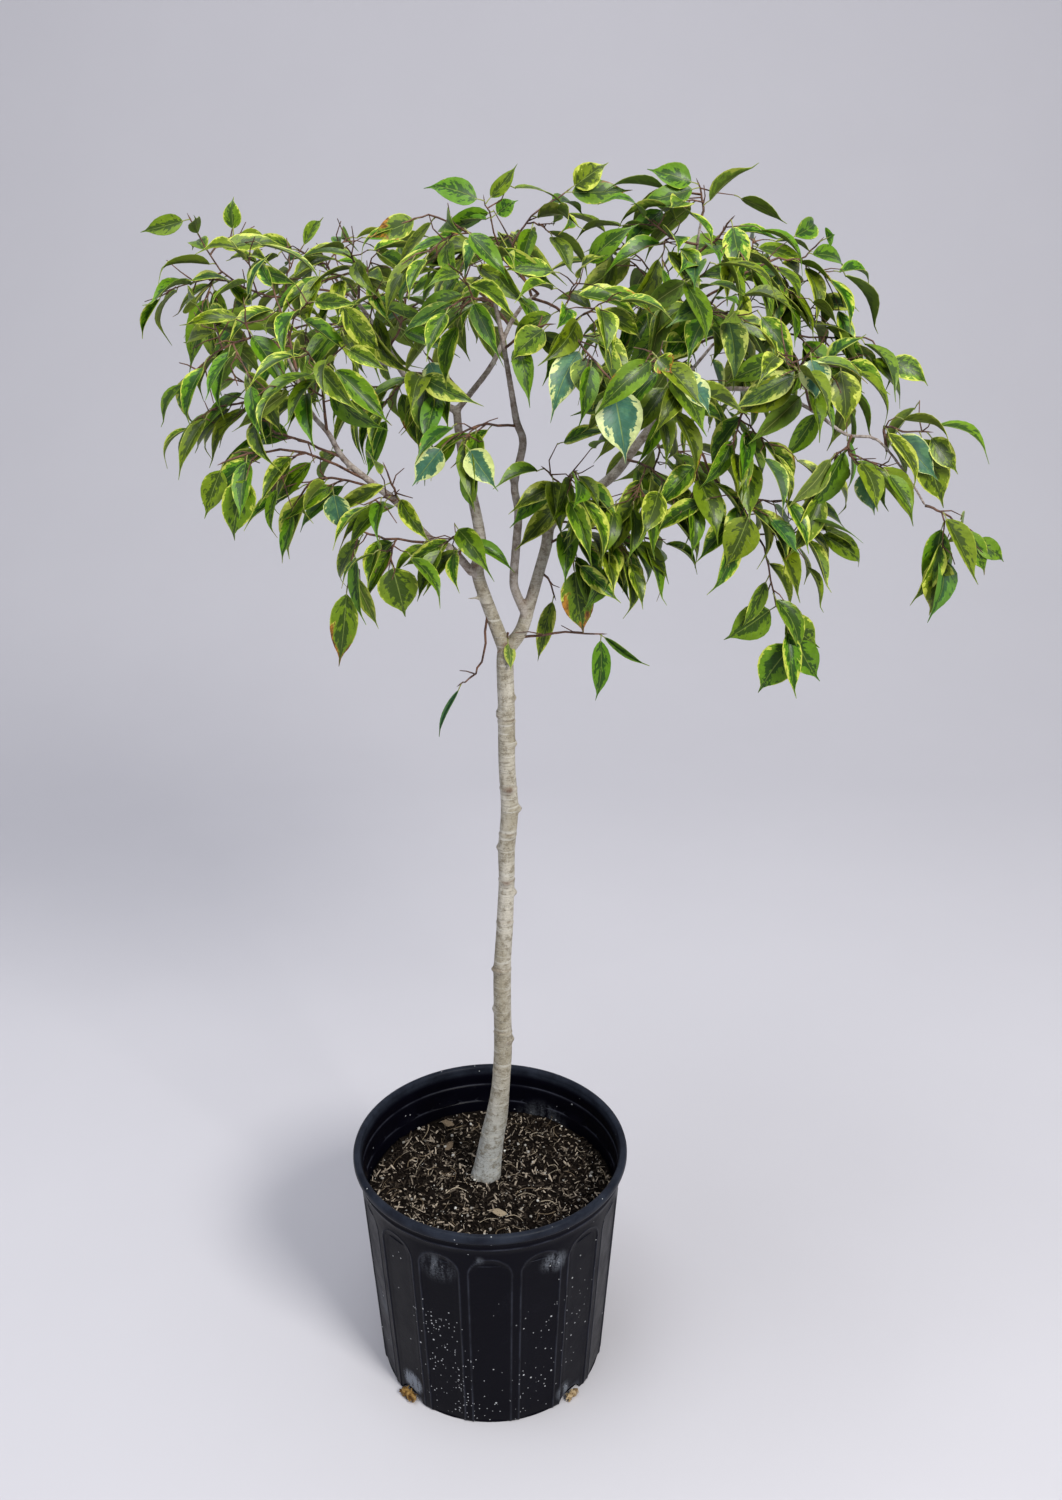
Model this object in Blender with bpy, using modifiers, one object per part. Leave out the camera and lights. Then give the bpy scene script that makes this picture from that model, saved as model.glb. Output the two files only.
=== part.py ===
"""A potted standard ficus: a nursery pot, its potting soil, the wood of one small tree and its leafy shoots.

Metres, +Z up. The origin is the middle of the pot's base, and the front of the plant faces -Y.
"""

import math
import random

import bmesh
import bpy
import numpy as np
from mathutils import Matrix, Vector

# The gap between pieces that touch
SEAT_GAP = 0.0003

# The nursery pot, a thin moulded shell
POT_HEIGHT = 0.250
RIM_RADIUS = 0.135
RIM_BAND = 0.014
LIP_WIDTH = 0.008
LIP_DEPTH = 0.008
ROUNDING = 0.002
STEP_OUT = 0.0025
STEP_HEIGHT = 0.006
BODY_TOP_RADIUS = 0.1285
BASE_RADIUS = 0.1135
BASE_CHAMFER = 0.0015
WALL = 0.0025
FLOOR = 0.0035
FLOOR_TOP_EDGE = 0.006
RECESS_HEIGHT = 0.002
CENTRE_PAD_RADIUS = 0.055
FOOT_WIDTH = 0.014
POT_SEGMENTS = 48
RING_HEIGHTS = (0.228, 0.208)
RING_STEP = 0.0015

# The drain notches at the bottom edge, the first at the front left
NOTCH_COUNT = 4
NOTCH_WIDTH = 0.030
NOTCH_HEIGHT = 0.012
NOTCH_REACH = 0.012
NOTCH_TURN = math.radians(45)

# The potting soil, level inside the pot
SOIL_TOP = 0.195
SOIL_SLOPE = 0.002
SOIL_LEVEL_RADIUS = 0.060
SOIL_GAP = 0.0005

# The foot of the trunk, under the soil
FOOT_POINTS = ((-0.006, 0.015, 0.135, 0.0110), (-0.006, 0.015, 0.175, 0.0150))

# Bark chips on the soil: place across and back, length, width, thickness, turn in degrees
CHIPS = (
    (0.008, -0.040, 0.015, 0.010, 0.0020, 25),
    (-0.048, 0.098, 0.013, 0.008, 0.0020, -40),
    (-0.045, 0.064, 0.014, 0.007, 0.0018, 70),
)

# The fibre tufts in the two front notches: length along the edge, depth and height
TUFTS = {"root_tuft_left": (0.024, 0.009, 0.0100), "root_tuft_right": (0.018, 0.007, 0.0085)}
TUFT_LIFT = 0.0008

# Twigs, each grown on from a spur of its branch
TWIG_RADIUS = 0.0011
SPUR_LENGTH = 0.0035
SPUR_CLEAR = 0.0015
STRAIGHT_WITHIN = 0.0004
BARE_SHARE_SIDE = 0.3
BARE_SHARE_FIRST = 0.35
LEAFY_LENGTH = 0.075

# Leaves: sizes, and how each is found a free place
LEAF_LENGTHS = (0.040, 0.054)
LEAF_WIDTH_SHARES = (0.40, 0.50)
LEAF_STALK = 0.006
END_LEAF_SHARE = 0.82
LEAF_THICKNESS = 0.0008
LEAF_WIDEST = 0.5
OUTER_SHARE = 0.7
SAME_PLACE = 0.008
CLEARANCE = 0.0006
TRIES = 14
CROWDED_TRIES = 4
SEED = 7

# The wood: each stem or branch as points from its foot to its end, with its radius there
BRANCHES = {
    "trunk": (
        (-0.003, 0.014, 0.211, 0.0135), (0.002, 0.013, 0.250, 0.0120), (0.007, 0.012, 0.278, 0.0106),
        (0.011, 0.011, 0.317, 0.0090), (0.013, 0.010, 0.360, 0.0089), (0.013, 0.008, 0.442, 0.0083),
        (0.016, 0.006, 0.495, 0.0078), (0.018, 0.005, 0.541, 0.0075), (0.018, 0.004, 0.575, 0.0080),
        (0.021, 0.003, 0.614, 0.0079), (0.019, 0.002, 0.657, 0.0077), (0.019, 0.001, 0.707, 0.0076),
        (0.018, 0.000, 0.750, 0.0075), (0.019, 0.000, 0.767, 0.0074),
    ),
    "left_stem": (
        (0.019, 0.000, 0.764, 0.0064), (0.004, -0.005, 0.808, 0.0056), (-0.004, -0.008, 0.837, 0.0054),
        (-0.001, -0.006, 0.861, 0.0050), (-0.006, 0.000, 0.890, 0.0044),
        (-0.014, 0.008, 0.923, 0.0039), (-0.018, 0.014, 0.944, 0.0036), (-0.020, 0.018, 0.966, 0.0034),
    ),
    "left_crown": (
        (-0.020, 0.018, 0.964, 0.0032), (-0.043, 0.028, 0.972, 0.0030), (-0.057, 0.035, 0.980, 0.0027),
        (-0.077, 0.050, 1.009, 0.0024), (-0.096, 0.060, 1.037, 0.0020), (-0.116, 0.070, 1.056, 0.0016),
    ),
    "centre_crown": (
        (-0.020, 0.018, 0.964, 0.0028), (-0.008, 0.020, 0.978, 0.0026), (0.010, 0.024, 1.001, 0.0024),
        (0.023, 0.030, 1.029, 0.0021), (0.035, 0.030, 1.046, 0.0018), (0.046, 0.030, 1.053, 0.0017),
    ),
    "left_limb": (
        (-0.008, -0.010, 0.836, 0.0038), (-0.025, -0.020, 0.860, 0.0034),
        (-0.042, -0.028, 0.871, 0.0032), (-0.065, -0.040, 0.902, 0.0030),
        (-0.083, -0.050, 0.920, 0.0029), (-0.103, -0.060, 0.941, 0.0026),
        (-0.113, -0.066, 0.962, 0.0023), (-0.125, -0.070, 0.979, 0.0021),
        (-0.134, -0.075, 1.007, 0.0017), (-0.140, -0.080, 1.025, 0.0014),
    ),
    "left_back": (
        (-0.067, 0.042, 0.994, 0.0020), (-0.100, 0.090, 0.997, 0.0018), (-0.130, 0.140, 1.016, 0.0014),
    ),
    "right_stem": (
        (0.020, 0.000, 0.766, 0.0064), (0.031, -0.002, 0.782, 0.0058), (0.037, -0.003, 0.799, 0.0056),
    ),
    "middle_stem": (
        (0.036, -0.003, 0.798, 0.0042), (0.027, -0.008, 0.821, 0.0039), (0.026, -0.010, 0.834, 0.0038),
        (0.028, -0.015, 0.859, 0.0037), (0.030, -0.020, 0.890, 0.0035), (0.027, -0.024, 0.914, 0.0033),
        (0.034, -0.030, 0.947, 0.0032), (0.029, -0.030, 0.964, 0.0031), (0.025, -0.030, 0.988, 0.0026),
        (0.018, -0.030, 1.029, 0.0021), (0.011, -0.030, 1.062, 0.0018),
    ),
    "right_limb": (
        (0.037, -0.003, 0.799, 0.0052), (0.046, 0.000, 0.831, 0.0049), (0.053, 0.004, 0.856, 0.0048),
        (0.056, 0.006, 0.873, 0.0048), (0.071, 0.010, 0.885, 0.0045), (0.093, 0.014, 0.900, 0.0043),
        (0.110, 0.016, 0.914, 0.0042), (0.125, 0.018, 0.934, 0.0040), (0.142, 0.020, 0.956, 0.0039),
        (0.154, 0.020, 0.975, 0.0036),
    ),
    "right_crown": (
        (0.154, 0.020, 0.975, 0.0030), (0.151, 0.030, 1.007, 0.0028), (0.158, 0.035, 1.025, 0.0024),
        (0.170, 0.040, 1.047, 0.0021), (0.171, 0.040, 1.085, 0.0016), (0.174, 0.040, 1.111, 0.0012),
    ),
    "right_arm": (
        (0.154, 0.020, 0.975, 0.0026), (0.199, -0.010, 0.986, 0.0022), (0.232, -0.030, 0.985, 0.0020),
        (0.258, -0.045, 0.974, 0.0018), (0.281, -0.055, 0.959, 0.0016), (0.304, -0.060, 0.956, 0.0014),
        (0.329, -0.060, 0.929, 0.0013), (0.346, -0.060, 0.905, 0.0012),
    ),
    "right_back": (
        (0.152, 0.020, 0.973, 0.0024), (0.175, 0.090, 0.983, 0.0020), (0.200, 0.150, 0.997, 0.0016),
    ),
}

# The shoots: name, branch, place along it, leaf spacing (0 for placed leaves only), the points of the
# first twig, and the side twigs, each as its place along the first twig and its tip
SHOOTS = (
    ("far_left", "left_crown", 0.92, 0.014,
     ((-0.135, 0.055, 1.055), (-0.170, 0.045, 1.050), (-0.205, 0.035, 1.070), (-0.225, 0.030, 1.110)),
     ((0.35, (-0.145, 0.070, 1.085)), (0.50, (-0.175, 0.000, 1.085)), (0.62, (-0.250, 0.020, 1.055)),
      (0.70, (-0.210, 0.000, 1.050)), (0.80, (-0.195, 0.050, 1.095)))),
    ("left_top", "left_crown", 1.00, 0.014,
     ((-0.130, 0.090, 1.070), (-0.155, 0.110, 1.080)),
     ((0.40, (-0.110, 0.110, 1.090)), (0.50, (-0.170, 0.130, 1.045)))),
    ("left_crown_front", "left_crown", 0.85, 0.014,
     ((-0.095, 0.030, 1.070), (-0.100, 0.000, 1.090)),
     ((0.30, (-0.075, 0.050, 1.090)), (0.50, (-0.120, 0.000, 1.065)))),
    ("left_crown_mid", "left_crown", 0.68, 0.014,
     ((-0.090, 0.000, 1.035), (-0.110, -0.030, 1.035)),
     ((0.40, (-0.075, 0.000, 1.065)), (0.60, (-0.125, 0.000, 1.010)))),
    ("left_crown_right", "left_crown", 0.55, 0.014,
     ((-0.065, 0.060, 1.030), (-0.060, 0.070, 1.060)),
     ((0.50, (-0.040, 0.080, 1.045)), (0.40, (-0.095, 0.100, 1.040)))),
    ("left_inner", "left_crown", 0.35, 0.016,
     ((-0.065, 0.000, 0.985), (-0.075, -0.020, 0.975)),
     ((0.50, (-0.095, 0.000, 0.985)),)),
    ("left_side", "left_limb", 0.50, 0.022,
     ((-0.130, -0.080, 0.950), (-0.160, -0.100, 0.955), (-0.185, -0.115, 0.950)),
     ((0.50, (-0.150, -0.090, 0.930)), (0.75, (-0.165, -0.125, 0.945)))),
    ("left_outer", "left_limb", 0.62, 0.017,
     ((-0.135, -0.075, 0.960), (-0.155, -0.070, 0.965), (-0.165, -0.065, 0.985), (-0.200, -0.060, 0.980)),
     ((0.60, (-0.185, -0.040, 1.000)), (0.80, (-0.215, -0.070, 0.970)))),
    ("left_limb_end", "left_limb", 1.00, 0.014,
     ((-0.155, -0.085, 1.035), (-0.180, -0.090, 1.030), (-0.215, -0.080, 1.005)),
     ((0.30, (-0.165, -0.090, 1.060)), (0.55, (-0.195, -0.050, 1.045)), (0.45, (-0.160, -0.115, 1.010)))),
    ("left_limb_top", "left_limb", 0.88, 0.014,
     ((-0.140, -0.060, 1.035), (-0.150, -0.050, 1.065)),
     ((0.50, (-0.120, -0.080, 1.060)), (0.40, (-0.180, -0.020, 1.045)))),
    ("left_front", "left_limb", 0.72, 0.014,
     ((-0.110, -0.100, 1.010), (-0.090, -0.130, 1.035)),
     ((0.50, (-0.120, -0.135, 1.035)), (0.35, (-0.135, -0.120, 1.005)))),
    ("left_hanging", "left_limb", 0.46, 0.020,
     ((-0.120, -0.075, 0.930), (-0.140, -0.085, 0.910)),
     ((0.40, (-0.110, -0.085, 0.925)),)),
    ("left_low", "left_limb", 0.16, 0.018,
     ((-0.075, -0.045, 0.875), (-0.095, -0.055, 0.880), (-0.105, -0.065, 0.840)),
     ((0.35, (-0.070, -0.060, 0.860)),)),
    ("left_low_inner", "left_limb", 0.08, 0.016,
     ((-0.015, -0.035, 0.875), (-0.030, -0.045, 0.870)),
     ()),
    ("left_limb_mid", "left_limb", 0.33, 0.017,
     ((-0.065, -0.070, 0.920), (-0.070, -0.080, 0.940)),
     ((0.50, (-0.080, -0.090, 0.915)),)),
    ("left_back_end", "left_back", 1.00, 0.014,
     ((-0.165, 0.180, 1.010), (-0.195, 0.200, 0.995)),
     ((0.30, (-0.130, 0.190, 1.040)), (0.50, (-0.165, 0.200, 0.970)))),
    ("left_back_inner", "left_back", 0.55, 0.014,
     ((-0.085, 0.135, 1.020), (-0.075, 0.155, 1.040)),
     ((0.50, (-0.090, 0.155, 1.000)),)),
    ("top_left", "centre_crown", 1.00, 0.014,
     ((0.035, 0.020, 1.065), (0.010, 0.000, 1.090), (-0.010, -0.020, 1.105), (-0.035, -0.030, 1.115),
      (-0.055, -0.035, 1.110)),
     ((0.33, (0.005, -0.005, 1.125)), (0.45, (-0.020, 0.000, 1.080)), (0.60, (-0.035, -0.060, 1.090)),
      (0.25, (0.000, -0.020, 1.070)))),
    ("top_middle", "centre_crown", 0.95, 0.018,
     ((0.035, 0.035, 1.065), (0.025, 0.035, 1.085), (0.040, 0.040, 1.110), (0.070, 0.045, 1.130)),
     ((0.40, (0.020, 0.060, 1.095)), (0.60, (0.055, 0.020, 1.100)))),
    ("centre_back", "centre_crown", 0.70, 0.015,
     ((0.005, 0.070, 1.045), (-0.015, 0.100, 1.055)),
     ((0.50, (-0.035, 0.110, 1.030)),)),
    ("middle_front", "middle_stem", 0.97, 0.016,
     ((-0.005, -0.060, 1.060), (-0.020, -0.080, 1.055)),
     ((0.50, (-0.010, -0.080, 1.080)),)),
    ("middle_leaf", "middle_stem", 0.84, 0.016,
     ((0.040, -0.045, 1.035), (0.055, -0.050, 1.040)),
     ()),
    ("reddish", "middle_stem", 0.62, 0.022,
     ((0.000, -0.050, 0.965), (-0.025, -0.070, 0.955)),
     ((0.50, (-0.010, -0.075, 0.955)),)),
    ("stem_front", "centre_crown", 0.12, 0.018,
     ((-0.025, -0.010, 0.995), (-0.040, -0.030, 1.015)),
     ((0.50, (-0.050, -0.030, 1.000)),)),
    ("middle_right", "centre_crown", 0.95, 0.014,
     ((0.065, -0.020, 1.045), (0.080, -0.080, 1.025), (0.100, -0.100, 1.005)),
     ((0.35, (0.075, -0.030, 1.070)), (0.50, (0.100, -0.070, 1.060)))),
    ("front_middle", "right_limb", 0.90, 0.014,
     ((0.145, -0.040, 0.975), (0.155, -0.100, 1.020)),
     ((0.45, (0.120, -0.080, 0.995)), (0.60, (0.125, -0.120, 1.030)))),
    ("dark_inner", "right_limb", 0.42, 0.014,
     ((0.065, -0.020, 0.910), (0.050, -0.040, 0.930)),
     ((0.50, (0.075, -0.050, 0.930)),)),
    ("limb_hanging", "right_limb", 0.36, 0.018,
     ((0.075, -0.010, 0.875), (0.075, -0.020, 0.845)),
     ()),
    ("fork_hanging", "right_limb", 0.17, 0.000,
     ((0.055, 0.010, 0.825), (0.060, 0.010, 0.810)),
     ()),
    ("limb_long", "right_limb", 0.27, 0.015,
     ((0.085, -0.010, 0.875), (0.115, -0.020, 0.870), (0.145, -0.030, 0.870)),
     ((0.50, (0.120, -0.030, 0.855)),)),
    ("limb_under", "right_limb", 0.72, 0.014,
     ((0.135, -0.020, 0.925), (0.150, -0.040, 0.915)),
     ((0.50, (0.120, -0.050, 0.905)),)),
    ("limb_back", "right_limb", 0.85, 0.014,
     ((0.150, 0.070, 0.920), (0.140, 0.090, 0.890)),
     ((0.50, (0.185, 0.080, 0.910)),)),
    ("hanging", "right_limb", 0.97, 0.016,
     ((0.170, -0.020, 0.950), (0.180, -0.040, 0.925), (0.200, -0.050, 0.910), (0.215, -0.055, 0.885),
      (0.225, -0.060, 0.865), (0.235, -0.060, 0.825), (0.255, -0.060, 0.795)),
     ((0.25, (0.165, -0.060, 0.910)), (0.45, (0.210, -0.075, 0.905)), (0.46, (0.245, -0.050, 0.905)),
      (0.60, (0.265, -0.060, 0.885)))),
    ("arm_under", "right_arm", 0.30, 0.014,
     ((0.200, -0.040, 0.965), (0.195, -0.060, 0.950)),
     ((0.50, (0.225, -0.060, 0.950)),)),
    ("arm_front", "right_arm", 0.50, 0.014,
     ((0.240, -0.070, 1.010), (0.245, -0.080, 1.025)),
     ((0.50, (0.270, -0.070, 1.015)), (0.40, (0.220, -0.090, 1.025)))),
    ("arm_low", "right_arm", 0.65, 0.014,
     ((0.280, -0.070, 0.950), (0.290, -0.080, 0.940)),
     ((0.40, (0.265, -0.060, 0.935)), (0.60, (0.305, -0.090, 0.940)))),
    ("arm_outer", "right_arm", 0.78, 0.020,
     ((0.310, -0.055, 0.965), (0.325, -0.050, 0.960), (0.345, -0.050, 0.960)),
     ()),
    ("arm_end", "right_arm", 1.00, 0.018,
     ((0.360, -0.060, 0.900), (0.385, -0.060, 0.880)),
     ((0.30, (0.360, -0.070, 0.870)),)),
    ("far_right", "right_crown", 0.20, 0.014,
     ((0.195, 0.050, 1.020), (0.235, 0.060, 1.020), (0.270, 0.065, 1.015), (0.315, 0.060, 1.015),
      (0.330, 0.055, 1.000)),
     ((0.30, (0.230, 0.090, 1.050)), (0.40, (0.250, 0.090, 0.985)), (0.60, (0.275, 0.040, 0.995)),
      (0.70, (0.305, 0.060, 0.965)), (0.55, (0.275, 0.080, 1.040)))),
    ("upper_right", "right_crown", 0.55, 0.014,
     ((0.195, 0.060, 1.055), (0.235, 0.075, 1.075), (0.260, 0.080, 1.075), (0.275, 0.075, 1.090)),
     ((0.40, (0.225, 0.100, 1.090)), (0.60, (0.250, 0.050, 1.050)), (0.80, (0.280, 0.070, 1.065)))),
    ("right_top", "right_crown", 1.00, 0.014,
     ((0.175, 0.040, 1.120), (0.170, 0.040, 1.135)),
     ((0.40, (0.150, 0.030, 1.120)),)),
    ("right_top_left", "right_crown", 0.85, 0.014,
     ((0.150, 0.030, 1.095), (0.130, 0.020, 1.110)),
     ((0.50, (0.140, -0.010, 1.080)),)),
    ("right_top_right", "right_crown", 0.80, 0.014,
     ((0.185, 0.030, 1.095), (0.195, 0.020, 1.110)),
     ((0.50, (0.205, 0.000, 1.080)),)),
    ("right_upper_left", "right_crown", 0.60, 0.014,
     ((0.140, 0.060, 1.060), (0.120, 0.070, 1.075)),
     ((0.50, (0.105, 0.080, 1.095)), (0.60, (0.130, 0.060, 1.035)))),
    ("right_front", "right_crown", 0.45, 0.014,
     ((0.170, -0.020, 1.045), (0.175, -0.060, 1.060)),
     ((0.50, (0.155, -0.050, 1.080)), (0.50, (0.195, -0.050, 1.045)))),
    ("right_inner", "right_crown", 0.30, 0.014,
     ((0.130, 0.060, 1.020), (0.105, 0.100, 1.025)),
     ((0.50, (0.145, 0.120, 1.040)),)),
    ("right_back_end", "right_back", 1.00, 0.014,
     ((0.230, 0.200, 1.005), (0.255, 0.220, 0.990)),
     ((0.40, (0.200, 0.220, 1.030)), (0.50, (0.235, 0.200, 0.965)))),
    ("right_back_inner", "right_back", 0.60, 0.014,
     ((0.160, 0.150, 0.985), (0.140, 0.170, 0.970)),
     ((0.50, (0.210, 0.150, 0.940)),)),
    ("low_right", "right_stem", 0.35, 0.000,
     ((0.070, -0.010, 0.785), (0.100, -0.015, 0.785)),
     ()),
    ("low_left", "left_stem", 0.22, 0.000,
     ((0.000, -0.010, 0.765), (-0.010, -0.010, 0.745), (-0.020, -0.015, 0.740)),
     ()),
)

# Leaves that stand out: shoot, twig, place along it, the place of the tip, and the width
SEEN_LEAVES = (
    ("middle_right", 0, 1.00, (0.110, -0.115, 0.950), 0.036),
    ("middle_right", 0, 0.72, (0.055, -0.100, 0.980), 0.023),
    ("middle_right", 0, 0.78, (0.080, -0.100, 0.990), 0.024),
    ("front_middle", 0, 1.00, (0.150, -0.115, 1.000), 0.019),
    ("front_middle", 0, 0.90, (0.170, -0.110, 0.985), 0.019),
    ("front_middle", 2, 1.00, (0.140, -0.120, 1.015), 0.018),
    ("stem_front", 0, 1.00, (-0.025, -0.045, 0.980), 0.021),
    ("reddish", 0, 1.00, (-0.050, -0.080, 0.925), 0.023),
    ("reddish", 1, 1.00, (0.015, -0.090, 0.925), 0.024),
    ("arm_front", 0, 1.00, (0.250, -0.090, 0.990), 0.025),
    ("arm_front", 1, 1.00, (0.275, -0.080, 0.970), 0.024),
    ("arm_low", 0, 1.00, (0.300, -0.090, 0.905), 0.023),
    ("arm_outer", 0, 0.55, (0.355, -0.060, 0.925), 0.023),
    ("arm_outer", 0, 1.00, (0.370, -0.060, 0.930), 0.018),
    ("arm_outer", 0, 0.90, (0.365, -0.050, 0.900), 0.030),
    ("arm_end", 1, 1.00, (0.355, -0.075, 0.820), 0.027),
    ("arm_end", 0, 1.00, (0.415, -0.060, 0.860), 0.017),
    ("arm_end", 0, 0.70, (0.400, -0.065, 0.850), 0.019),
    ("far_right", 0, 1.00, (0.370, 0.050, 0.980), 0.021),
    ("right_top", 0, 1.00, (0.130, 0.040, 1.145), 0.021),
    ("right_top", 0, 0.90, (0.120, 0.030, 1.120), 0.019),
    ("right_top_right", 0, 1.00, (0.205, 0.000, 1.065), 0.022),
    ("top_middle", 0, 1.00, (0.100, 0.045, 1.150), 0.021),
    ("top_middle", 0, 0.97, (0.120, 0.050, 1.130), 0.021),
    ("top_left", 1, 1.00, (-0.040, -0.005, 1.135), 0.021),
    ("top_left", 1, 0.95, (0.030, 0.000, 1.150), 0.012),
    ("top_left", 1, 0.70, (0.030, 0.000, 1.125), 0.015),
    ("top_left", 0, 0.90, (-0.080, -0.040, 1.100), 0.018),
    ("middle_leaf", 0, 1.00, (0.025, -0.060, 1.015), 0.022),
    ("left_low", 1, 1.00, (-0.060, -0.065, 0.815), 0.032),
    ("left_low", 0, 1.00, (-0.115, -0.070, 0.775), 0.023),
    ("left_hanging", 1, 1.00, (-0.105, -0.085, 0.890), 0.021),
    ("limb_hanging", 0, 1.00, (0.085, -0.025, 0.785), 0.030),
    ("hanging", 2, 1.00, (0.190, -0.080, 0.860), 0.029),
    ("hanging", 0, 0.86, (0.195, -0.060, 0.795), 0.029),
    ("hanging", 0, 1.00, (0.225, -0.065, 0.750), 0.031),
    ("hanging", 0, 0.98, (0.275, -0.060, 0.760), 0.023),
    ("hanging", 0, 0.90, (0.275, -0.050, 0.785), 0.026),
    ("low_right", 0, 1.00, (0.095, -0.020, 0.725), 0.017),
    ("low_right", 0, 0.97, (0.140, -0.010, 0.755), 0.012),
    ("low_left", 0, 1.00, (-0.040, -0.015, 0.690), 0.009),
    ("left_side", 0, 1.00, (-0.200, -0.120, 0.910), 0.019),
    ("left_side", 2, 1.00, (-0.180, -0.130, 0.895), 0.025),
    ("far_left", 0, 1.00, (-0.265, 0.030, 1.100), 0.016),
    ("far_left", 5, 1.00, (-0.195, 0.055, 1.125), 0.014),
    ("far_left", 5, 0.90, (-0.165, 0.050, 1.090), 0.017),
    ("far_left", 3, 1.00, (-0.270, 0.020, 1.020), 0.014),
    ("upper_right", 0, 1.00, (0.285, 0.070, 1.095), 0.015),
    ("fork_hanging", 0, 1.00, (0.045, 0.005, 0.750), 0.014),
)

UP = np.array((0.0, 0.0, 1.0))
CROWN_MIDDLE = np.array((0.030, 0.0, 0.930))


def unit(vector):
    return vector / np.linalg.norm(vector)


def smooth_route(points, steps):
    """Points along a smooth curve through the given ones, with this many steps from each to the next."""
    points = [np.array(point, float) for point in points]
    ends = [2 * points[0] - points[1]] + points + [2 * points[-1] - points[-2]]
    route = []
    for before, start, end, after in zip(ends, ends[1:], ends[2:], ends[3:]):
        for step in range(steps):
            t = step / steps
            square = 2 * before - 5 * start + 4 * end - after
            cube = 3 * start - before - 3 * end + after
            route.append(0.5 * (2 * start + (end - before) * t + square * t**2 + cube * t**3))
    return route + [points[-1]]


def straightened(route):
    """The route without those points that lie almost on a straight line between their neighbours."""
    kept = [route[0]]
    for point, after in zip(route[1:], route[2:]):
        along = unit(after - kept[-1])
        if np.linalg.norm(np.cross(point - kept[-1], along)) > STRAIGHT_WITHIN:
            kept.append(point)
    return kept + [route[-1]]


def route_length(route):
    return sum(np.linalg.norm(end[:3] - start[:3]) for start, end in zip(route, route[1:]))


def place_on(route, fraction):
    """The point at a fraction of a route's length, and the route's direction there."""
    left = fraction * route_length(route)
    for start, end in zip(route, route[1:]):
        span = np.linalg.norm(end[:3] - start[:3])
        if left <= span or end is route[-1]:
            break
        left -= span
    return start + (end - start) * min(left / span, 1.0), unit((end - start)[:3])


def beam(start, end, width):
    """A square beam: its corners, and the directions of its faces and edges."""
    along = unit(end - start)
    across = unit(np.cross(along, (0.3, 1.0, 0.2)))
    through = np.cross(along, across)
    corners = [
        point + (across * i + through * j) * width / 2
        for point in (start, end)
        for i in (-1, 1)
        for j in (-1, 1)
    ]
    directions = np.array((along, across, through))
    return np.array(corners), directions, directions


def blade(base, along, facing, length, width):
    """A leaf as a thin kite: its corners, and the directions of its faces and edges."""
    across = np.cross(along, facing)
    middle = base + along * length * LEAF_WIDEST
    half = across * width / 2
    outline = (base, middle + half, base + along * length, middle - half)
    corners = [point + facing * side * LEAF_THICKNESS / 2 for point in outline for side in (-1, 1)]
    edges = [unit(end - start) for start, end in zip(outline, outline[1:] + outline[:1])]
    faces = np.array([facing] + [np.cross(edge, facing) for edge in edges])
    return np.array(corners), faces, np.array(edges + [facing])


def gap(one, other):
    """The widest empty slab between two convex solids, or less than nothing where they meet."""
    crossed = np.cross(one[2][:, None], other[2][None]).reshape(-1, 3)
    lengths = np.linalg.norm(crossed, axis=1)
    crossed = crossed[lengths > 1e-6] / lengths[lengths > 1e-6, None]
    directions = np.concatenate((one[1], other[1], crossed))
    a = one[0] @ directions.T
    b = other[0] @ directions.T
    return max((b.min(0) - a.max(0)).max(), (a.min(0) - b.max(0)).max())


class Space:
    """The solids that stand so far, which a later leaf keeps clear of."""

    def __init__(self):
        self.solids = []
        self.lows = []
        self.highs = []
        self.owners = []

    def add(self, solid, owner):
        self.solids.append(solid)
        self.lows.append(solid[0].min(0))
        self.highs.append(solid[0].max(0))
        self.owners.append(owner)

    def is_clear(self, solid, owner):
        low = solid[0].min(0) - CLEARANCE
        high = solid[0].max(0) + CLEARANCE
        near = np.all((np.array(self.lows) < high) & (np.array(self.highs) > low), axis=1)
        return all(
            self.owners[i] == owner or gap(solid, self.solids[i]) >= CLEARANCE
            for i in np.nonzero(near)[0]
        )


def shoot_twigs(branch, place, route, sides):
    """A shoot's twigs, and how far along the first one its branch's wood reaches."""
    start, branch_along = place_on(branch, place)
    main = smooth_route([start[:3], *route], 2)
    reach = start[3] + SPUR_LENGTH
    if place < 1:
        lean = np.linalg.norm(np.cross(branch_along, unit(main[1] - main[0])))
        reach = max(reach, (start[3] + TWIG_RADIUS + SPUR_CLEAR) / max(lean, 0.25))
    twigs = [main]
    for fraction, tip in sides:
        tip = np.array(tip)
        root, along = place_on(main, fraction)
        run = tip - root
        span = np.linalg.norm(run)
        rise = 0.3 if run[2] < 0 else 0.65
        bend = root + run * (0.5, 0.5, rise) + UP * 0.06 * span + along * 0.1 * span
        steps = np.linspace(0, 1, 4)
        twigs.append([root * (1 - t) ** 2 + 2 * bend * t * (1 - t) + tip * t**2 for t in steps])
    return reach, twigs


def spur_and_twig(reach, main):
    """Cuts a shoot's first twig in two: the spur that the wood keeps, and what grows on from it."""
    start = main[0]
    along = unit(main[1] - start)
    rest = [point for point in main[1:] if np.linalg.norm(point - start) > reach + 2 * TWIG_RADIUS]
    return [start, start + along * reach], [start + along * (reach + SEAT_GAP), *rest]


def seen_leaf(twig, place, tip, width):
    """A leaf whose tip is placed by hand, facing forward."""
    root, along = place_on(twig, place)
    base = root - along * TWIG_RADIUS
    pointing = unit(np.array(tip) - base)
    wish = np.array((0.0, -1.0, 0.45))
    facing = unit(wish - pointing * wish.dot(pointing))
    return base, pointing, facing, np.linalg.norm(np.array(tip) - base), width


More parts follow.
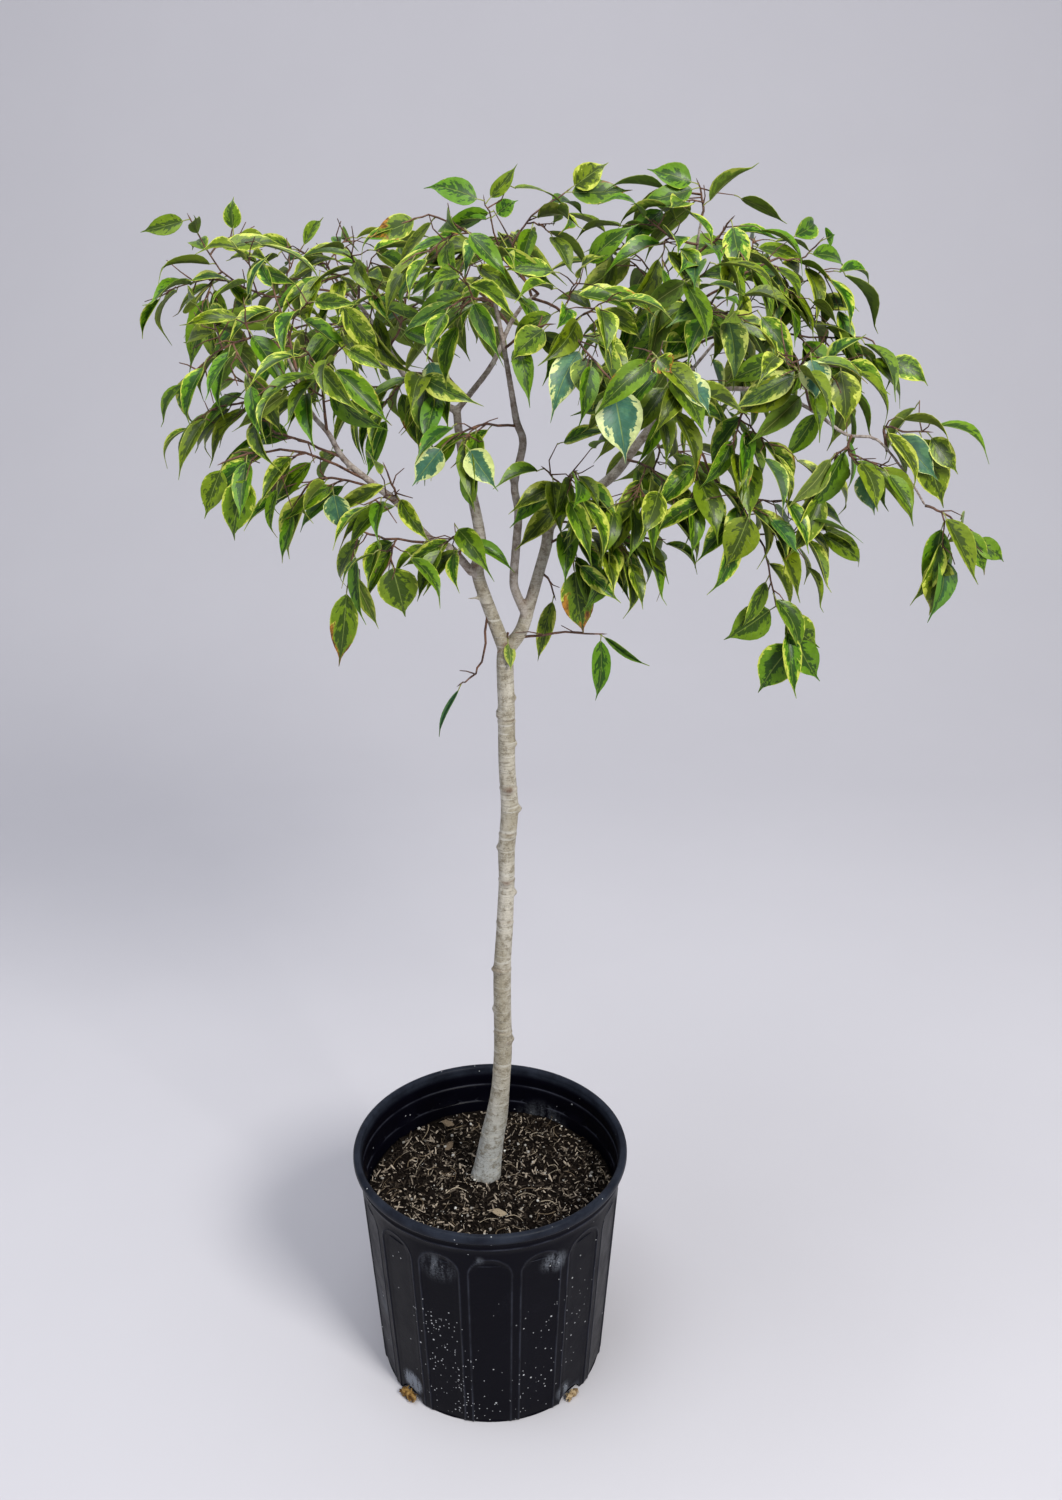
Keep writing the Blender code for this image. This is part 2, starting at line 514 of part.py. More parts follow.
def drawn_leaf(rng, twig, place, number, last):
    """A leaf by chance: alternate sides, drooping low in the crown and spreading at its top."""
    root, along = place_on(twig, place)
    turn = math.pi * number + rng.uniform(-0.8, 0.8)
    level = unit(np.cross(along, UP)) if abs(along[2]) < 0.95 else np.array((1.0, 0.0, 0.0))
    side = level * math.cos(turn) + np.cross(level, along) * math.sin(turn) * 0.6
    height = min(max((root[2] - 1.0) / 0.12, 0), 1)
    droop = rng.uniform(0.5, 1.15) * (1 - height) + rng.uniform(0.05, 0.8) * height
    pointing = along * rng.uniform(0.3, 0.75) + side * rng.uniform(0.4, 0.85) - UP * droop
    if last:
        pointing = along + side * 0.25 - UP * droop * 0.8
    pointing = unit(pointing)
    outward = unit((root - CROWN_MIDDLE) * (1, 1, 0))
    wish = outward * rng.uniform(0.1, 0.9) + UP * rng.uniform(0.2, 1.1)
    wish = wish + side * rng.uniform(-0.5, 0.5) + np.array((0.0, -0.35, 0.0))
    facing = unit(wish - pointing * wish.dot(pointing))
    length = rng.uniform(*LEAF_LENGTHS) * (END_LEAF_SHARE if last else 1)
    width = length * rng.uniform(*LEAF_WIDTH_SHARES)
    return root - along * TWIG_RADIUS, pointing, facing, length + LEAF_STALK, width


def outer_blade(leaf):
    base, pointing, facing, length, width = leaf
    start = base + pointing * length * (1 - OUTER_SHARE)
    return blade(start, pointing, facing, length * OUTER_SHARE, width)


def leaves_of(rng, space, name, twigs, spacing):
    """The leaves of one shoot: those placed by hand, then the rest, each clear of every other shoot."""
    leaves = []
    taken = []
    for shoot, twig, place, tip, width in SEEN_LEAVES:
        if shoot == name:
            leaf = seen_leaf(twigs[twig], place, tip, width)
            if space.is_clear(blade(*leaf), name):
                leaves.append(leaf)
                taken.append((twig, place))
                space.add(blade(*leaf), name)
    for index, twig in enumerate(twigs if spacing else ()):
        length = route_length(twig)
        bare = BARE_SHARE_SIDE if index else max(BARE_SHARE_FIRST, 1 - LEAFY_LENGTH / length)
        spots = int((1 - bare) * length / spacing) + 1
        for number in range(spots + 1):
            place = bare + (1 - bare) * number / spots
            if any(other == index and abs(place - there) * length < SAME_PLACE for other, there in taken):
                continue
            for attempt in range(TRIES):
                leaf = drawn_leaf(rng, twig, place, number, number == spots)
                if not space.is_clear(blade(*leaf), name):
                    continue
                outer = outer_blade(leaf)
                crowded = any(gap(outer, outer_blade(own)) < 0 for own in leaves)
                if attempt < TRIES - CROWDED_TRIES and crowded:
                    continue
                leaves.append(leaf)
                space.add(blade(*leaf), name)
                break
    return leaves


def grow():
    """Every shoot as its name, its spur and twigs, and its leaves."""
    branches = {name: [np.array(point) for point in points] for name, points in BRANCHES.items()}
    space = Space()
    for points in branches.values():
        for start, end in zip(points, points[1:]):
            space.add(beam(start[:3], end[:3], 2 * max(start[3], end[3])), "wood")
    shoots = []
    for name, branch, place, spacing, route, sides in SHOOTS:
        reach, twigs = shoot_twigs(branches[branch], place, route, sides)
        shoots.append((name, reach, spacing, twigs))
        for twig in twigs:
            for start, end in zip(twig, twig[1:]):
                space.add(beam(start, end, 2 * TWIG_RADIUS), name)
    rng = random.Random(SEED)
    grown = []
    for name, reach, spacing, twigs in shoots:
        leaves = leaves_of(rng, space, name, twigs, spacing)
        spur, first = spur_and_twig(reach, twigs[0])
        grown.append((name, spur, [first, *twigs[1:]], leaves))
    return grown


def clear_scene():
    for thing in list(bpy.data.objects):
        bpy.data.objects.remove(thing, do_unlink=True)


def collection(name, hidden=False):
    made = bpy.data.collections.new(name)
    bpy.context.scene.collection.children.link(made)
    made.hide_render = hidden
    return made


def finish(name, colour, roughness):
    material = bpy.data.materials.new(name)
    material.use_nodes = True
    shader = material.node_tree.nodes["Principled BSDF"]
    shader.inputs["Base Color"].default_value = (*colour, 1.0)
    shader.inputs["Roughness"].default_value = roughness
    shader.inputs["Metallic"].default_value = 0.0
    material.diffuse_color = (*colour, 1.0)
    return material


def mesh_object(name, mesh, home):
    made = bpy.data.objects.new(name, mesh)
    home.objects.link(made)
    return made


def keep(piece, material, parts, smooth=False):
    """Gives a finished piece its material and shading, and makes it one of the parts."""
    piece.data.materials.clear()
    piece.data.materials.append(material)
    if smooth:
        piece.data.shade_smooth()
        piece.data.set_sharp_from_angle(angle=math.radians(35))
    for home in list(piece.users_collection):
        home.objects.unlink(piece)
    parts.objects.link(piece)


def as_mesh(thing):
    """The object as it is evaluated, as a plain mesh in the same place; the first one goes."""
    name = thing.name
    home = thing.users_collection[0]
    bpy.context.view_layer.update()
    evaluated = thing.evaluated_get(bpy.context.evaluated_depsgraph_get())
    mesh = bpy.data.meshes.new_from_object(evaluated)
    place = thing.matrix_world.copy()
    bpy.data.objects.remove(thing, do_unlink=True)
    shape = bmesh.new()
    shape.from_mesh(mesh)
    bmesh.ops.remove_doubles(shape, verts=shape.verts, dist=1e-6)
    shape.to_mesh(mesh)
    shape.free()
    made = mesh_object(name, mesh, home)
    made.matrix_world = place
    return made


def tube(name, points, radii, sides, home):
    """A round rod along the points, closed at both ends. sides is 4, 6, 8 and so on."""
    curve = bpy.data.curves.new(name, "CURVE")
    curve.dimensions = "3D"
    curve.bevel_depth = 1.0
    curve.bevel_resolution = sides // 2 - 2
    curve.use_fill_caps = True
    spline = curve.splines.new("POLY")
    spline.points.add(len(points) - 1)
    for spot, point, radius in zip(spline.points, points, radii):
        spot.co = (*point[:3], 1.0)
        spot.radius = radius
    return as_mesh(mesh_object(name, curve, home))


def turned(name, profile, segments, home):
    """A solid of revolution. The profile starts and ends on the axis and runs down its outer side."""
    shape = bmesh.new()
    spots = [shape.verts.new((radius, 0.0, height)) for radius, height in profile]
    for start, end in zip(spots, spots[1:]):
        shape.edges.new((start, end))
    mesh = bpy.data.meshes.new(name)
    shape.to_mesh(mesh)
    shape.free()
    made = mesh_object(name, mesh, home)
    screw = made.modifiers.new("turn", "SCREW")
    screw.steps = segments
    screw.render_steps = segments
    screw.use_merge_vertices = True
    screw.merge_threshold = 0.0001
    return made


def joined(name, pieces, home, operation="UNION"):
    """The first piece united with the others, or cut by them."""
    first = pieces[0]
    others = bpy.data.collections.new(name + "_pieces")
    bpy.context.scene.collection.children.link(others)
    for piece in pieces[1:]:
        home.objects.unlink(piece)
        others.objects.link(piece)
    union = first.modifiers.new("join", "BOOLEAN")
    union.operation = operation
    union.operand_type = "COLLECTION"
    union.collection = others
    union.solver = "EXACT"
    made = as_mesh(first)
    for piece in list(others.objects):
        bpy.data.objects.remove(piece, do_unlink=True)
    bpy.data.collections.remove(others)
    made.name = name
    return made


def wall_radius(height):
    """The outer radius of the pot's body, which widens upwards."""
    body_top = POT_HEIGHT - RIM_BAND - STEP_HEIGHT
    return BASE_RADIUS + (BODY_TOP_RADIUS - BASE_RADIUS) * min(height / body_top, 1.0)


def nursery_pot(cutters, parts):
    """The turned shell: rolled rim, three rings inside, flat centre pad, foot ring and drain notches."""
    under_rim = POT_HEIGHT - RIM_BAND
    lip = RIM_RADIUS - LIP_WIDTH
    upper_ring, lower_ring = RING_HEIGHTS
    profile = (
        (0.0, FLOOR + RECESS_HEIGHT),
        (wall_radius(FLOOR_TOP_EDGE) - WALL, FLOOR + RECESS_HEIGHT),
        (wall_radius(lower_ring) - WALL, lower_ring),
        (wall_radius(lower_ring) - WALL + RING_STEP, lower_ring + RING_STEP),
        (wall_radius(upper_ring) - WALL, upper_ring),
        (wall_radius(upper_ring) - WALL + RING_STEP, upper_ring + RING_STEP),
        (lip, POT_HEIGHT - LIP_DEPTH),
        (lip, POT_HEIGHT - ROUNDING),
        (lip + ROUNDING, POT_HEIGHT),
        (RIM_RADIUS - ROUNDING, POT_HEIGHT),
        (RIM_RADIUS, POT_HEIGHT - ROUNDING),
        (RIM_RADIUS, under_rim),
        (BODY_TOP_RADIUS + STEP_OUT, under_rim),
        (BODY_TOP_RADIUS, under_rim - STEP_HEIGHT),
        (BASE_RADIUS, BASE_CHAMFER),
        (BASE_RADIUS - BASE_CHAMFER, 0.0),
        (BASE_RADIUS - FOOT_WIDTH, 0.0),
        (BASE_RADIUS - FOOT_WIDTH - RECESS_HEIGHT, RECESS_HEIGHT),
        (CENTRE_PAD_RADIUS + RECESS_HEIGHT, RECESS_HEIGHT),
        (CENTRE_PAD_RADIUS, 0.0),
        (0.0, 0.0),
    )
    pot = turned("nursery_pot", profile, POT_SEGMENTS, parts)
    notches = bpy.data.collections.new("drain_notches")
    cutters.children.link(notches)
    for number in range(NOTCH_COUNT):
        bpy.ops.mesh.primitive_cube_add(size=1)
        cutter = bpy.context.object
        cutter.name = f"drain_notch_{number + 1}"
        size = (2 * NOTCH_REACH, NOTCH_WIDTH, 2 * NOTCH_HEIGHT)
        turn = math.radians(-90) - NOTCH_TURN + number * math.tau / NOTCH_COUNT
        place = Matrix.Rotation(turn, 4, "Z") @ Matrix.Translation((BASE_RADIUS, 0, 0))
        cutter.data.transform(place @ Matrix.Diagonal((*size, 1)))
        cutter.hide_render = True
        cutter.display_type = "WIRE"
        for home in list(cutter.users_collection):
            home.objects.unlink(cutter)
        notches.objects.link(cutter)
    cut = pot.modifiers.new("drain", "BOOLEAN")
    cut.operation = "DIFFERENCE"
    cut.operand_type = "COLLECTION"
    cut.collection = notches
    cut.solver = "EXACT"
    return pot


def potting_soil(trunk_points, trunk_radii, scratch):
    """The soil: it fills the pot to its level, with a socket that the foot of the trunk stands in."""
    floor = FLOOR + RECESS_HEIGHT + SEAT_GAP
    side = WALL + SOIL_GAP
    profile = (
        (0.0, SOIL_TOP + SOIL_SLOPE),
        (SOIL_LEVEL_RADIUS, SOIL_TOP + SOIL_SLOPE),
        (wall_radius(SOIL_TOP) - side, SOIL_TOP - SOIL_SLOPE),
        (wall_radius(FLOOR_TOP_EDGE) - side, floor),
        (0.0, floor),
    )
    soil = as_mesh(turned("potting_soil", profile, POT_SEGMENTS, scratch))
    lowered = [trunk_points[0] - UP * SEAT_GAP, *trunk_points[1:]]
    socket = tube("socket", lowered, [radius + SEAT_GAP for radius in trunk_radii], 12, scratch)
    return joined("potting_soil", [soil, socket], scratch, "DIFFERENCE")


def wood(grown, trunk_points, trunk_radii, scratch):
    """The trunk, stems and branches as one solid, with a short spur where each shoot grows on."""
    pieces = [tube("trunk", trunk_points, trunk_radii, 12, scratch)]
    for name, points in BRANCHES.items():
        if name != "trunk":
            thick = points[0][3] > 0.0035
            radii = [point[3] for point in points]
            pieces.append(tube(name, [np.array(p[:3]) for p in points], radii, 8 if thick else 6, scratch))
    for name, spur, _, _ in grown:
        pieces.append(tube(name + "_spur", spur, [TWIG_RADIUS] * 2, 4, scratch))
    return joined("trunk_and_branches", pieces, scratch)


def leaf_blank(scratch):
    """A kite one metre long and one wide, as thick as a leaf, with its base at the origin."""
    curve = bpy.data.curves.new("leaf_blank", "CURVE")
    curve.dimensions = "2D"
    curve.fill_mode = "BOTH"
    curve.extrude = LEAF_THICKNESS / 2
    spline = curve.splines.new("POLY")
    outline = ((0.0, 0.0), (LEAF_WIDEST, -0.5), (1.0, 0.0), (LEAF_WIDEST, 0.5))
    spline.points.add(len(outline) - 1)
    for spot, (along, across) in zip(spline.points, outline):
        spot.co = (along, across, 0.0, 1.0)
    spline.use_cyclic_u = True
    return as_mesh(mesh_object("leaf_blank", curve, scratch))


def shoot(name, twigs, leaves, blank, scratch):
    """One shoot: its twigs and its leaves as one solid."""
    routes = [straightened(twig) for twig in twigs]
    pieces = [tube(name, route, [TWIG_RADIUS] * len(route), 4, scratch) for route in routes]
    for base, pointing, facing, length, width in leaves:
        mesh = blank.data.copy()
        axes = (Vector(pointing), Vector(np.cross(facing, pointing)), Vector(facing))
        turn = Matrix(axes).transposed().to_4x4()
        mesh.transform(Matrix.Translation(base) @ turn @ Matrix.Diagonal((length, width, 1, 1)))
        pieces.append(mesh_object("leaf", mesh, scratch))
    return joined("shoot_" + name, pieces, scratch)


def bark_chip(number, across, back, length, width, thickness, degrees):
    """A flake of bark lying on the soil."""
    bpy.ops.mesh.primitive_cube_add(size=1)
    chip = bpy.context.object
    chip.name = f"bark_chip_{number}"
    outside = max(math.hypot(across, back) - length / 2 - SOIL_LEVEL_RADIUS, 0)
    edge = wall_radius(SOIL_TOP) - WALL - SOIL_GAP - SOIL_LEVEL_RADIUS
    top = SOIL_TOP + SOIL_SLOPE - 2 * SOIL_SLOPE * outside / edge
    place = Vector((across, back, top + SEAT_GAP + thickness / 2))
    turn = Matrix.Rotation(math.radians(degrees), 4, "Z")
    chip.data.transform(Matrix.Translation(place) @ turn @ Matrix.Diagonal((length, width, thickness, 1)))
    edges = chip.modifiers.new("worn_edges", "BEVEL")
    edges.width = thickness * 0.3
    edges.segments = 1
    return chip


def root_tuft(name, side, length, depth, height):
    """A clump of roots and fibre in a drain notch, against the soil."""
    bpy.ops.mesh.primitive_ico_sphere_add(subdivisions=2, radius=0.5)
    tuft = bpy.context.object
    tuft.name = name
    inner = BASE_RADIUS - WALL
    turn = Matrix.Rotation(math.radians(-90) + side * NOTCH_TURN, 4, "Z")
    place = turn @ Matrix.Translation((inner + depth / 2, 0, TUFT_LIFT + height / 2))
    tuft.data.transform(place @ Matrix.Diagonal((depth, length, height, 1)))
    return tuft


clear_scene()
ficus_parts = collection("potted_standard_ficus")
ficus_cutters = collection("cutters", hidden=True)
workbench = collection("workbench")

grown_shoots = grow()
trunk = FOOT_POINTS + BRANCHES["trunk"]
trunk_places = [np.array(point[:3]) for point in trunk]
trunk_widths = [point[3] for point in trunk]

black_plastic = finish("black_plastic", (0.012, 0.013, 0.018), 0.42)
peat = finish("peat", (0.045, 0.030, 0.022), 0.95)
grey_bark = finish("grey_bark", (0.42, 0.39, 0.32), 0.75)
leaf_green = finish("leaf_green", (0.09, 0.20, 0.03), 0.40)
bark_flake = finish("bark_flake", (0.36, 0.25, 0.15), 0.85)
fibre = finish("fibre", (0.55, 0.40, 0.20), 0.90)

keep(nursery_pot(ficus_cutters, workbench), black_plastic, ficus_parts)
keep(potting_soil(trunk_places, trunk_widths, workbench), peat, ficus_parts)
keep(wood(grown_shoots, trunk_places, trunk_widths, workbench), grey_bark, ficus_parts, smooth=True)
one_leaf = leaf_blank(workbench)
for shoot_name, _, shoot_routes, shoot_leaves in grown_shoots:
    keep(shoot(shoot_name, shoot_routes, shoot_leaves, one_leaf, workbench), leaf_green, ficus_parts)
bpy.data.objects.remove(one_leaf, do_unlink=True)
for index, chip_sizes in enumerate(CHIPS):
    keep(bark_chip(index + 1, *chip_sizes), bark_flake, ficus_parts)
for tuft_side, (tuft_name, tuft_sizes) in zip((-1, 1), TUFTS.items()):
    keep(root_tuft(tuft_name, tuft_side, *tuft_sizes), fibre, ficus_parts, smooth=True)
bpy.data.collections.remove(workbench)
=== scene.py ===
import math
import random

import bmesh
import bpy
import numpy as np
from mathutils import Matrix, Vector, kdtree, noise


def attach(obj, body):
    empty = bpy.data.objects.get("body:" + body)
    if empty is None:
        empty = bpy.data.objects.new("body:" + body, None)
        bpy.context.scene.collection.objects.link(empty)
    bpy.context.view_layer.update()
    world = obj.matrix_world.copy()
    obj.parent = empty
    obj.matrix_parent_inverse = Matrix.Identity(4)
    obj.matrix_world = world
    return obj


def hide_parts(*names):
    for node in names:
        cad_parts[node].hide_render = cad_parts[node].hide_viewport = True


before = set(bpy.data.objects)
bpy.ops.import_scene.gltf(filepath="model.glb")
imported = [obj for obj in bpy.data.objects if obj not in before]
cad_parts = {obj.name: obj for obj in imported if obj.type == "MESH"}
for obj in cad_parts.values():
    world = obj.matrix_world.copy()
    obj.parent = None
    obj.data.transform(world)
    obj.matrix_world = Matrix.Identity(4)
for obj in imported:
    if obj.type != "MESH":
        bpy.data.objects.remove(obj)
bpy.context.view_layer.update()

# The nursery pot
# One black plastic shell, moulded in one shot: a rolled rim over a cove and a ledge, sixteen flat panels
# with arched tops round the wall, stepped rings inside, and drain notches at the bottom edge.

POT_HEIGHT = 0.250
BASE_RADIUS = 0.1135
BODY_TOP = 0.230
BODY_TOP_RADIUS = 0.1285
WALL = 0.0025
PANELS = 16
PANEL_COLUMNS = 38
PANEL_SHARE = 0.405
PANEL_TOP = 0.2180
PANEL_TURN = math.radians(1)
RINGS = (0.208, 0.228)
NOTCH_TURN = math.radians(45)
NOTCH_WIDTH = 0.030
NOTCH_HEIGHT = 0.012


class Paint:
    """A material's nodes. Each method adds one node and gives back its output."""

    def __init__(self, name, roughness=0.5, **constants):
        self.material = bpy.data.materials.new(name)
        self.material.use_nodes = True
        self.tree = self.material.node_tree
        self.shader = self.tree.nodes["Principled BSDF"]
        self.shader.inputs["Roughness"].default_value = roughness
        for key, value in constants.items():
            self.shader.inputs[key.replace("_", " ")].default_value = value

    def add(self, kind, *values, out=0, **settings):
        node = self.tree.nodes.new("ShaderNode" + kind)
        for key, value in settings.items():
            setattr(node, key, value)
        for spot, value in enumerate(values):
            if isinstance(value, bpy.types.NodeSocket):
                self.tree.links.new(value, node.inputs[spot])
            elif value is not None:
                node.inputs[spot].default_value = value
        return node.outputs[out]

    def math(self, operation, *values, clamp=False):
        return self.add("Math", *values, operation=operation, use_clamp=clamp)

    def place(self):
        return self.add("TexCoord", out="Object")

    def stretched(self, place, *scale):
        return self.add("Mapping", place, None, None, scale)

    def noise(self, place, scale, detail=4.0, roughness=0.55, out=0):
        return self.add("TexNoise", place, None, scale, detail, roughness, out=out)

    def cells(self, place, scale, out=0, **settings):
        node = self.add("TexVoronoi", place, **settings).node
        node.inputs["Scale"].default_value = scale
        return node.outputs[out]

    def steps(self, value, low, high, start=0.0, end=1.0):
        """Goes smoothly from start to end while the value goes from low to high."""
        return self.add("MapRange", value, low, high, start, end, interpolation_type="SMOOTHSTEP")

    def near(self, place, centre, reach):
        """One at a point, down to nothing at this distance from it."""
        away = self.add("VectorMath", place, centre, operation="DISTANCE", out="Value")
        return self.steps(away, 0.0, reach, 1.0, 0.0)

    def mix(self, share, one, other):
        node = self.add("Mix", data_type="RGBA").node
        for spot, value in ((0, share), (6, one), (7, other)):
            if isinstance(value, bpy.types.NodeSocket):
                self.tree.links.new(value, node.inputs[spot])
            elif spot:
                node.inputs[spot].default_value = (*value, 1.0)
            else:
                node.inputs[spot].default_value = value
        return node.outputs[2]

    def finish(self, colour, roughness=None, height=None, depth=0.001, strength=1.0):
        self.tree.links.new(colour, self.shader.inputs["Base Color"])
        if roughness is not None:
            self.tree.links.new(roughness, self.shader.inputs["Roughness"])
        if height is not None:
            bump = self.add("Bump", strength, depth).node
            self.tree.links.new(height, bump.inputs["Height"])
            self.tree.links.new(bump.outputs[0], self.shader.inputs["Normal"])
        return self.material


def mesh_of(shape, name):
    mesh = bpy.data.meshes.new(name)
    shape.to_mesh(mesh)
    shape.free()
    return mesh


def piece(name, mesh, materials, nodes=(), sharp=40):
    """A finished piece of the object: its materials, its shading, and the solids that it stands for."""
    made = bpy.data.objects.new(name, mesh)
    bpy.context.scene.collection.objects.link(made)
    for material in materials:
        mesh.materials.append(material)
    mesh.shade_smooth()
    if sharp:
        mesh.set_sharp_from_angle(angle=math.radians(sharp))
    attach(made, "root")
    if nodes:
        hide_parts(*nodes)
    return made


def turned(profile, steps):
    """A profile of radius and height spun once round the upright axis."""
    shape = bmesh.new()
    spots = [shape.verts.new((radius, 0.0, height)) for radius, height in profile]
    edges = [shape.edges.new(pair) for pair in zip(spots, spots[1:])]
    bmesh.ops.spin(
        shape,
        geom=spots + edges,
        cent=(0, 0, 0),
        axis=(0, 0, 1),
        angle=math.tau,
        steps=steps,
        use_merge=True,
    )
    bmesh.ops.remove_doubles(shape, verts=shape.verts, dist=1e-6)
    bmesh.ops.recalc_face_normals(shape, faces=shape.faces)
    return shape


def wall_radius(height):
    return BASE_RADIUS + (BODY_TOP_RADIUS - BASE_RADIUS) * min(height / BODY_TOP, 1.0)


def applied(made):
    """The mesh of an object with its modifiers in place. The object goes."""
    bpy.context.view_layer.update()
    mesh = bpy.data.meshes.new_from_object(made.evaluated_get(bpy.context.evaluated_depsgraph_get()))
    bpy.data.objects.remove(made, do_unlink=True)
    return mesh


def cut_notches(shape):
    """Cuts the four round-topped drain notches out of the bottom edge."""
    blank = bpy.data.objects.new("pot_blank", mesh_of(shape, "pot_blank"))
    bpy.context.scene.collection.objects.link(blank)
    cutters = bmesh.new()
    for number in range(4):
        made = bmesh.ops.create_cone(
            cutters, cap_ends=True, segments=28, radius1=0.5, radius2=0.5, depth=1.0
        )["verts"]
        turn = Matrix.Rotation(math.radians(-90) - NOTCH_TURN + number * math.tau / 4, 4, "Z")
        lie = Matrix.Rotation(math.radians(90), 4, "Y")
        size = Matrix.Diagonal((0.024, NOTCH_WIDTH, 2 * NOTCH_HEIGHT, 1))
        place = turn @ Matrix.Translation((BASE_RADIUS, 0, -0.0005)) @ size @ lie
        bmesh.ops.transform(cutters, matrix=place, verts=made)
    cutter = bpy.data.objects.new("notch_cutters", mesh_of(cutters, "notch_cutters"))
    bpy.context.scene.collection.objects.link(cutter)
    cut = blank.modifiers.new("notches", "BOOLEAN")
    cut.operation = "DIFFERENCE"
    cut.object = cutter
    cut.solver = "EXACT"
    mesh = applied(blank)
    bpy.data.objects.remove(cutter, do_unlink=True)
    return mesh


def press_panels(shape):
    """Presses the sixteen flat arched panels into the wall, each with a fine raised line round it."""
    # Red marks the raised lines, ring edges and ledge, for rubbed wear and a painted highlight; green marks the
    # panels' insides
    wear_and_highlight = shape.verts.layers.float_color.new("wear_and_highlight")
    pitch = math.tau / PANELS
    share_from = (0.0, 0.06, 0.22, 0.50, 0.78, 0.94, 1.0)
    share_to = (0.0, 0.055, 0.135, 0.50, 0.865, 0.945, 1.0)
    for vertex in shape.verts:
        x, y, z = vertex.co
        radius = math.hypot(x, y)
        on_ring = radius < wall_radius(z) - WALL / 2 and any(0 < z - ring < 0.0015 for ring in RINGS)
        vertex[wear_and_highlight] = (1.0 if on_ring or 0.2312 < z < 0.2325 else 0.0, 0.0, 0.0, 1.0)
        if radius < BASE_RADIUS - 0.0005 or z > PANEL_TOP + 0.006 or radius < wall_radius(z) - WALL / 2:
            continue
        turn = (math.atan2(x, -y) - PANEL_TURN) / pitch + 0.5
        number = math.floor(turn)
        share = float(np.interp(turn - number, share_from, share_to)) - 0.5
        half = PANEL_SHARE * pitch
        across = share * pitch * radius
        top_middle = PANEL_TOP - half * radius
        if z > top_middle:
            away = math.hypot(across, z - top_middle) - half * radius
        else:
            away = abs(across) - half * radius
        inside = min(max(-away / 0.0012, 0.0), 1.0)
        inside = inside * inside * (3 - 2 * inside)
        flat = radius * (1 - math.cos(half) / math.cos(share * pitch))
        fade = min(max(-away / 0.006, 0.0), 1.0)
        line = 0.0005 * math.exp(-(((away - 0.0004) / 0.0007) ** 2))
        vertex[wear_and_highlight] = (line / 0.0005, inside, 0.0, 1.0)
        pressed = radius - inside * 0.0006 - fade * abs(flat) * 0.9 + line
        angle = (number + share) * pitch + PANEL_TURN
        vertex.co = Vector((math.sin(angle) * pressed, -math.cos(angle) * pressed, z))


rim = (
    (0.1262, 0.2405), (0.1272, 0.2420), (0.1274, 0.2462), (0.1279, 0.2485), (0.1292, 0.2498),
    (0.1310, 0.2502), (0.1330, 0.2498), (0.1344, 0.2486), (0.1350, 0.2466), (0.1350, 0.2436),
    (0.1346, 0.2420), (0.1337, 0.2409), (0.1322, 0.2399), (0.1309, 0.2388), (0.1303, 0.2372),
    (0.1301, 0.2350), (0.1303, 0.2330), (0.1308, 0.2322), (0.1309, 0.2315), (0.1305, 0.2309),
    (0.1295, 0.2303), (0.1287, 0.2292),
)
inner_wall = [(0.0, 0.0055), (0.105, 0.0055), (wall_radius(0.010) - WALL, 0.010)]
for ring in RINGS:
    below = wall_radius(ring) - WALL
    inner_wall += [(below - 0.0001, ring - 0.004), (below, ring - 0.0012), (below + 0.0004, ring - 0.0004)]
    inner_wall += [(below + 0.0012, ring + 0.0002), (below + 0.0016, ring + 0.0012), (below + 0.0013, ring + 0.005)]
fine_rows = [(wall_radius(z), z) for z in np.arange(0.2235, 0.183, -0.0009)]
coarse_rows = [(wall_radius(z), z) for z in np.linspace(0.180, 0.0035, 16)]
bottom = (
    (0.1133, 0.0012), (0.1122, 0.0002), (0.1110, 0.0), (0.1005, 0.0), (0.0985, 0.0020),
    (0.0570, 0.0020), (0.0550, 0.0), (0.0, 0.0),
)
pot_shape = turned([*inner_wall, *rim, *fine_rows, *coarse_rows, *bottom], PANELS * PANEL_COLUMNS)
press_panels(pot_shape)

plastic = Paint("black_plastic", 0.38, Specular_IOR_Level=0.06)
at = plastic.place()
wear_and_highlight = plastic.add("Attribute", attribute_name="wear_and_highlight")
raised = plastic.add("SeparateColor", wear_and_highlight)
pressed_in = plastic.add("SeparateColor", wear_and_highlight, out=1)
height_on_pot = plastic.add("SeparateXYZ", at, out="Z")
haze = plastic.noise(at, 38, 8, 0.65)
streaks = plastic.noise(plastic.stretched(at, 1, 1, 0.14), 160, 6, 0.6)
grit = plastic.noise(at, 520, 3, 0.7)
smears, specked = 0.0, 0.0
for centre, reach, smear_share, speck_share in (
    ((-0.046, -0.113, 0.200), 0.024, 0.50, 0.20),
    ((0.060, -0.105, 0.200), 0.018, 0.85, 0.20),
    ((-0.078, -0.083, 0.022), 0.017, 4.00, 0.20),
    ((0.074, -0.088, 0.016), 0.014, 0.90, 0.20),
    ((-0.008, -0.127, 0.216), 0.008, 0.35, 0.00),
    ((-0.107, -0.048, 0.095), 0.020, 0.60, 0.75),
    ((-0.047, -0.106, 0.125), 0.040, 0.00, 0.95),
    ((-0.041, -0.104, 0.080), 0.046, 0.00, 0.75),
    ((-0.035, -0.104, 0.040), 0.046, 0.00, 0.75),
    ((-0.020, -0.111, 0.010), 0.040, 0.00, 0.75),
    ((0.030, -0.113, 0.040), 0.060, 0.00, 0.40),
    ((0.075, -0.095, 0.120), 0.070, 0.00, 0.30),
    ((0.052, 0.112, 0.180), 0.040, 0.60, 0.50),
    ((-0.060, 0.100, 0.060), 0.060, 0.30, 0.60),
    ((0.110, 0.030, 0.090), 0.070, 0.30, 0.40),
):
    spot = plastic.near(at, centre, reach)
    smears = plastic.math("MULTIPLY_ADD", spot, smear_share, smears)
    specked = plastic.math("MULTIPLY_ADD", spot, speck_share, specked)
smear = plastic.math("MULTIPLY", streaks, plastic.math("ADD", grit, 0.25))
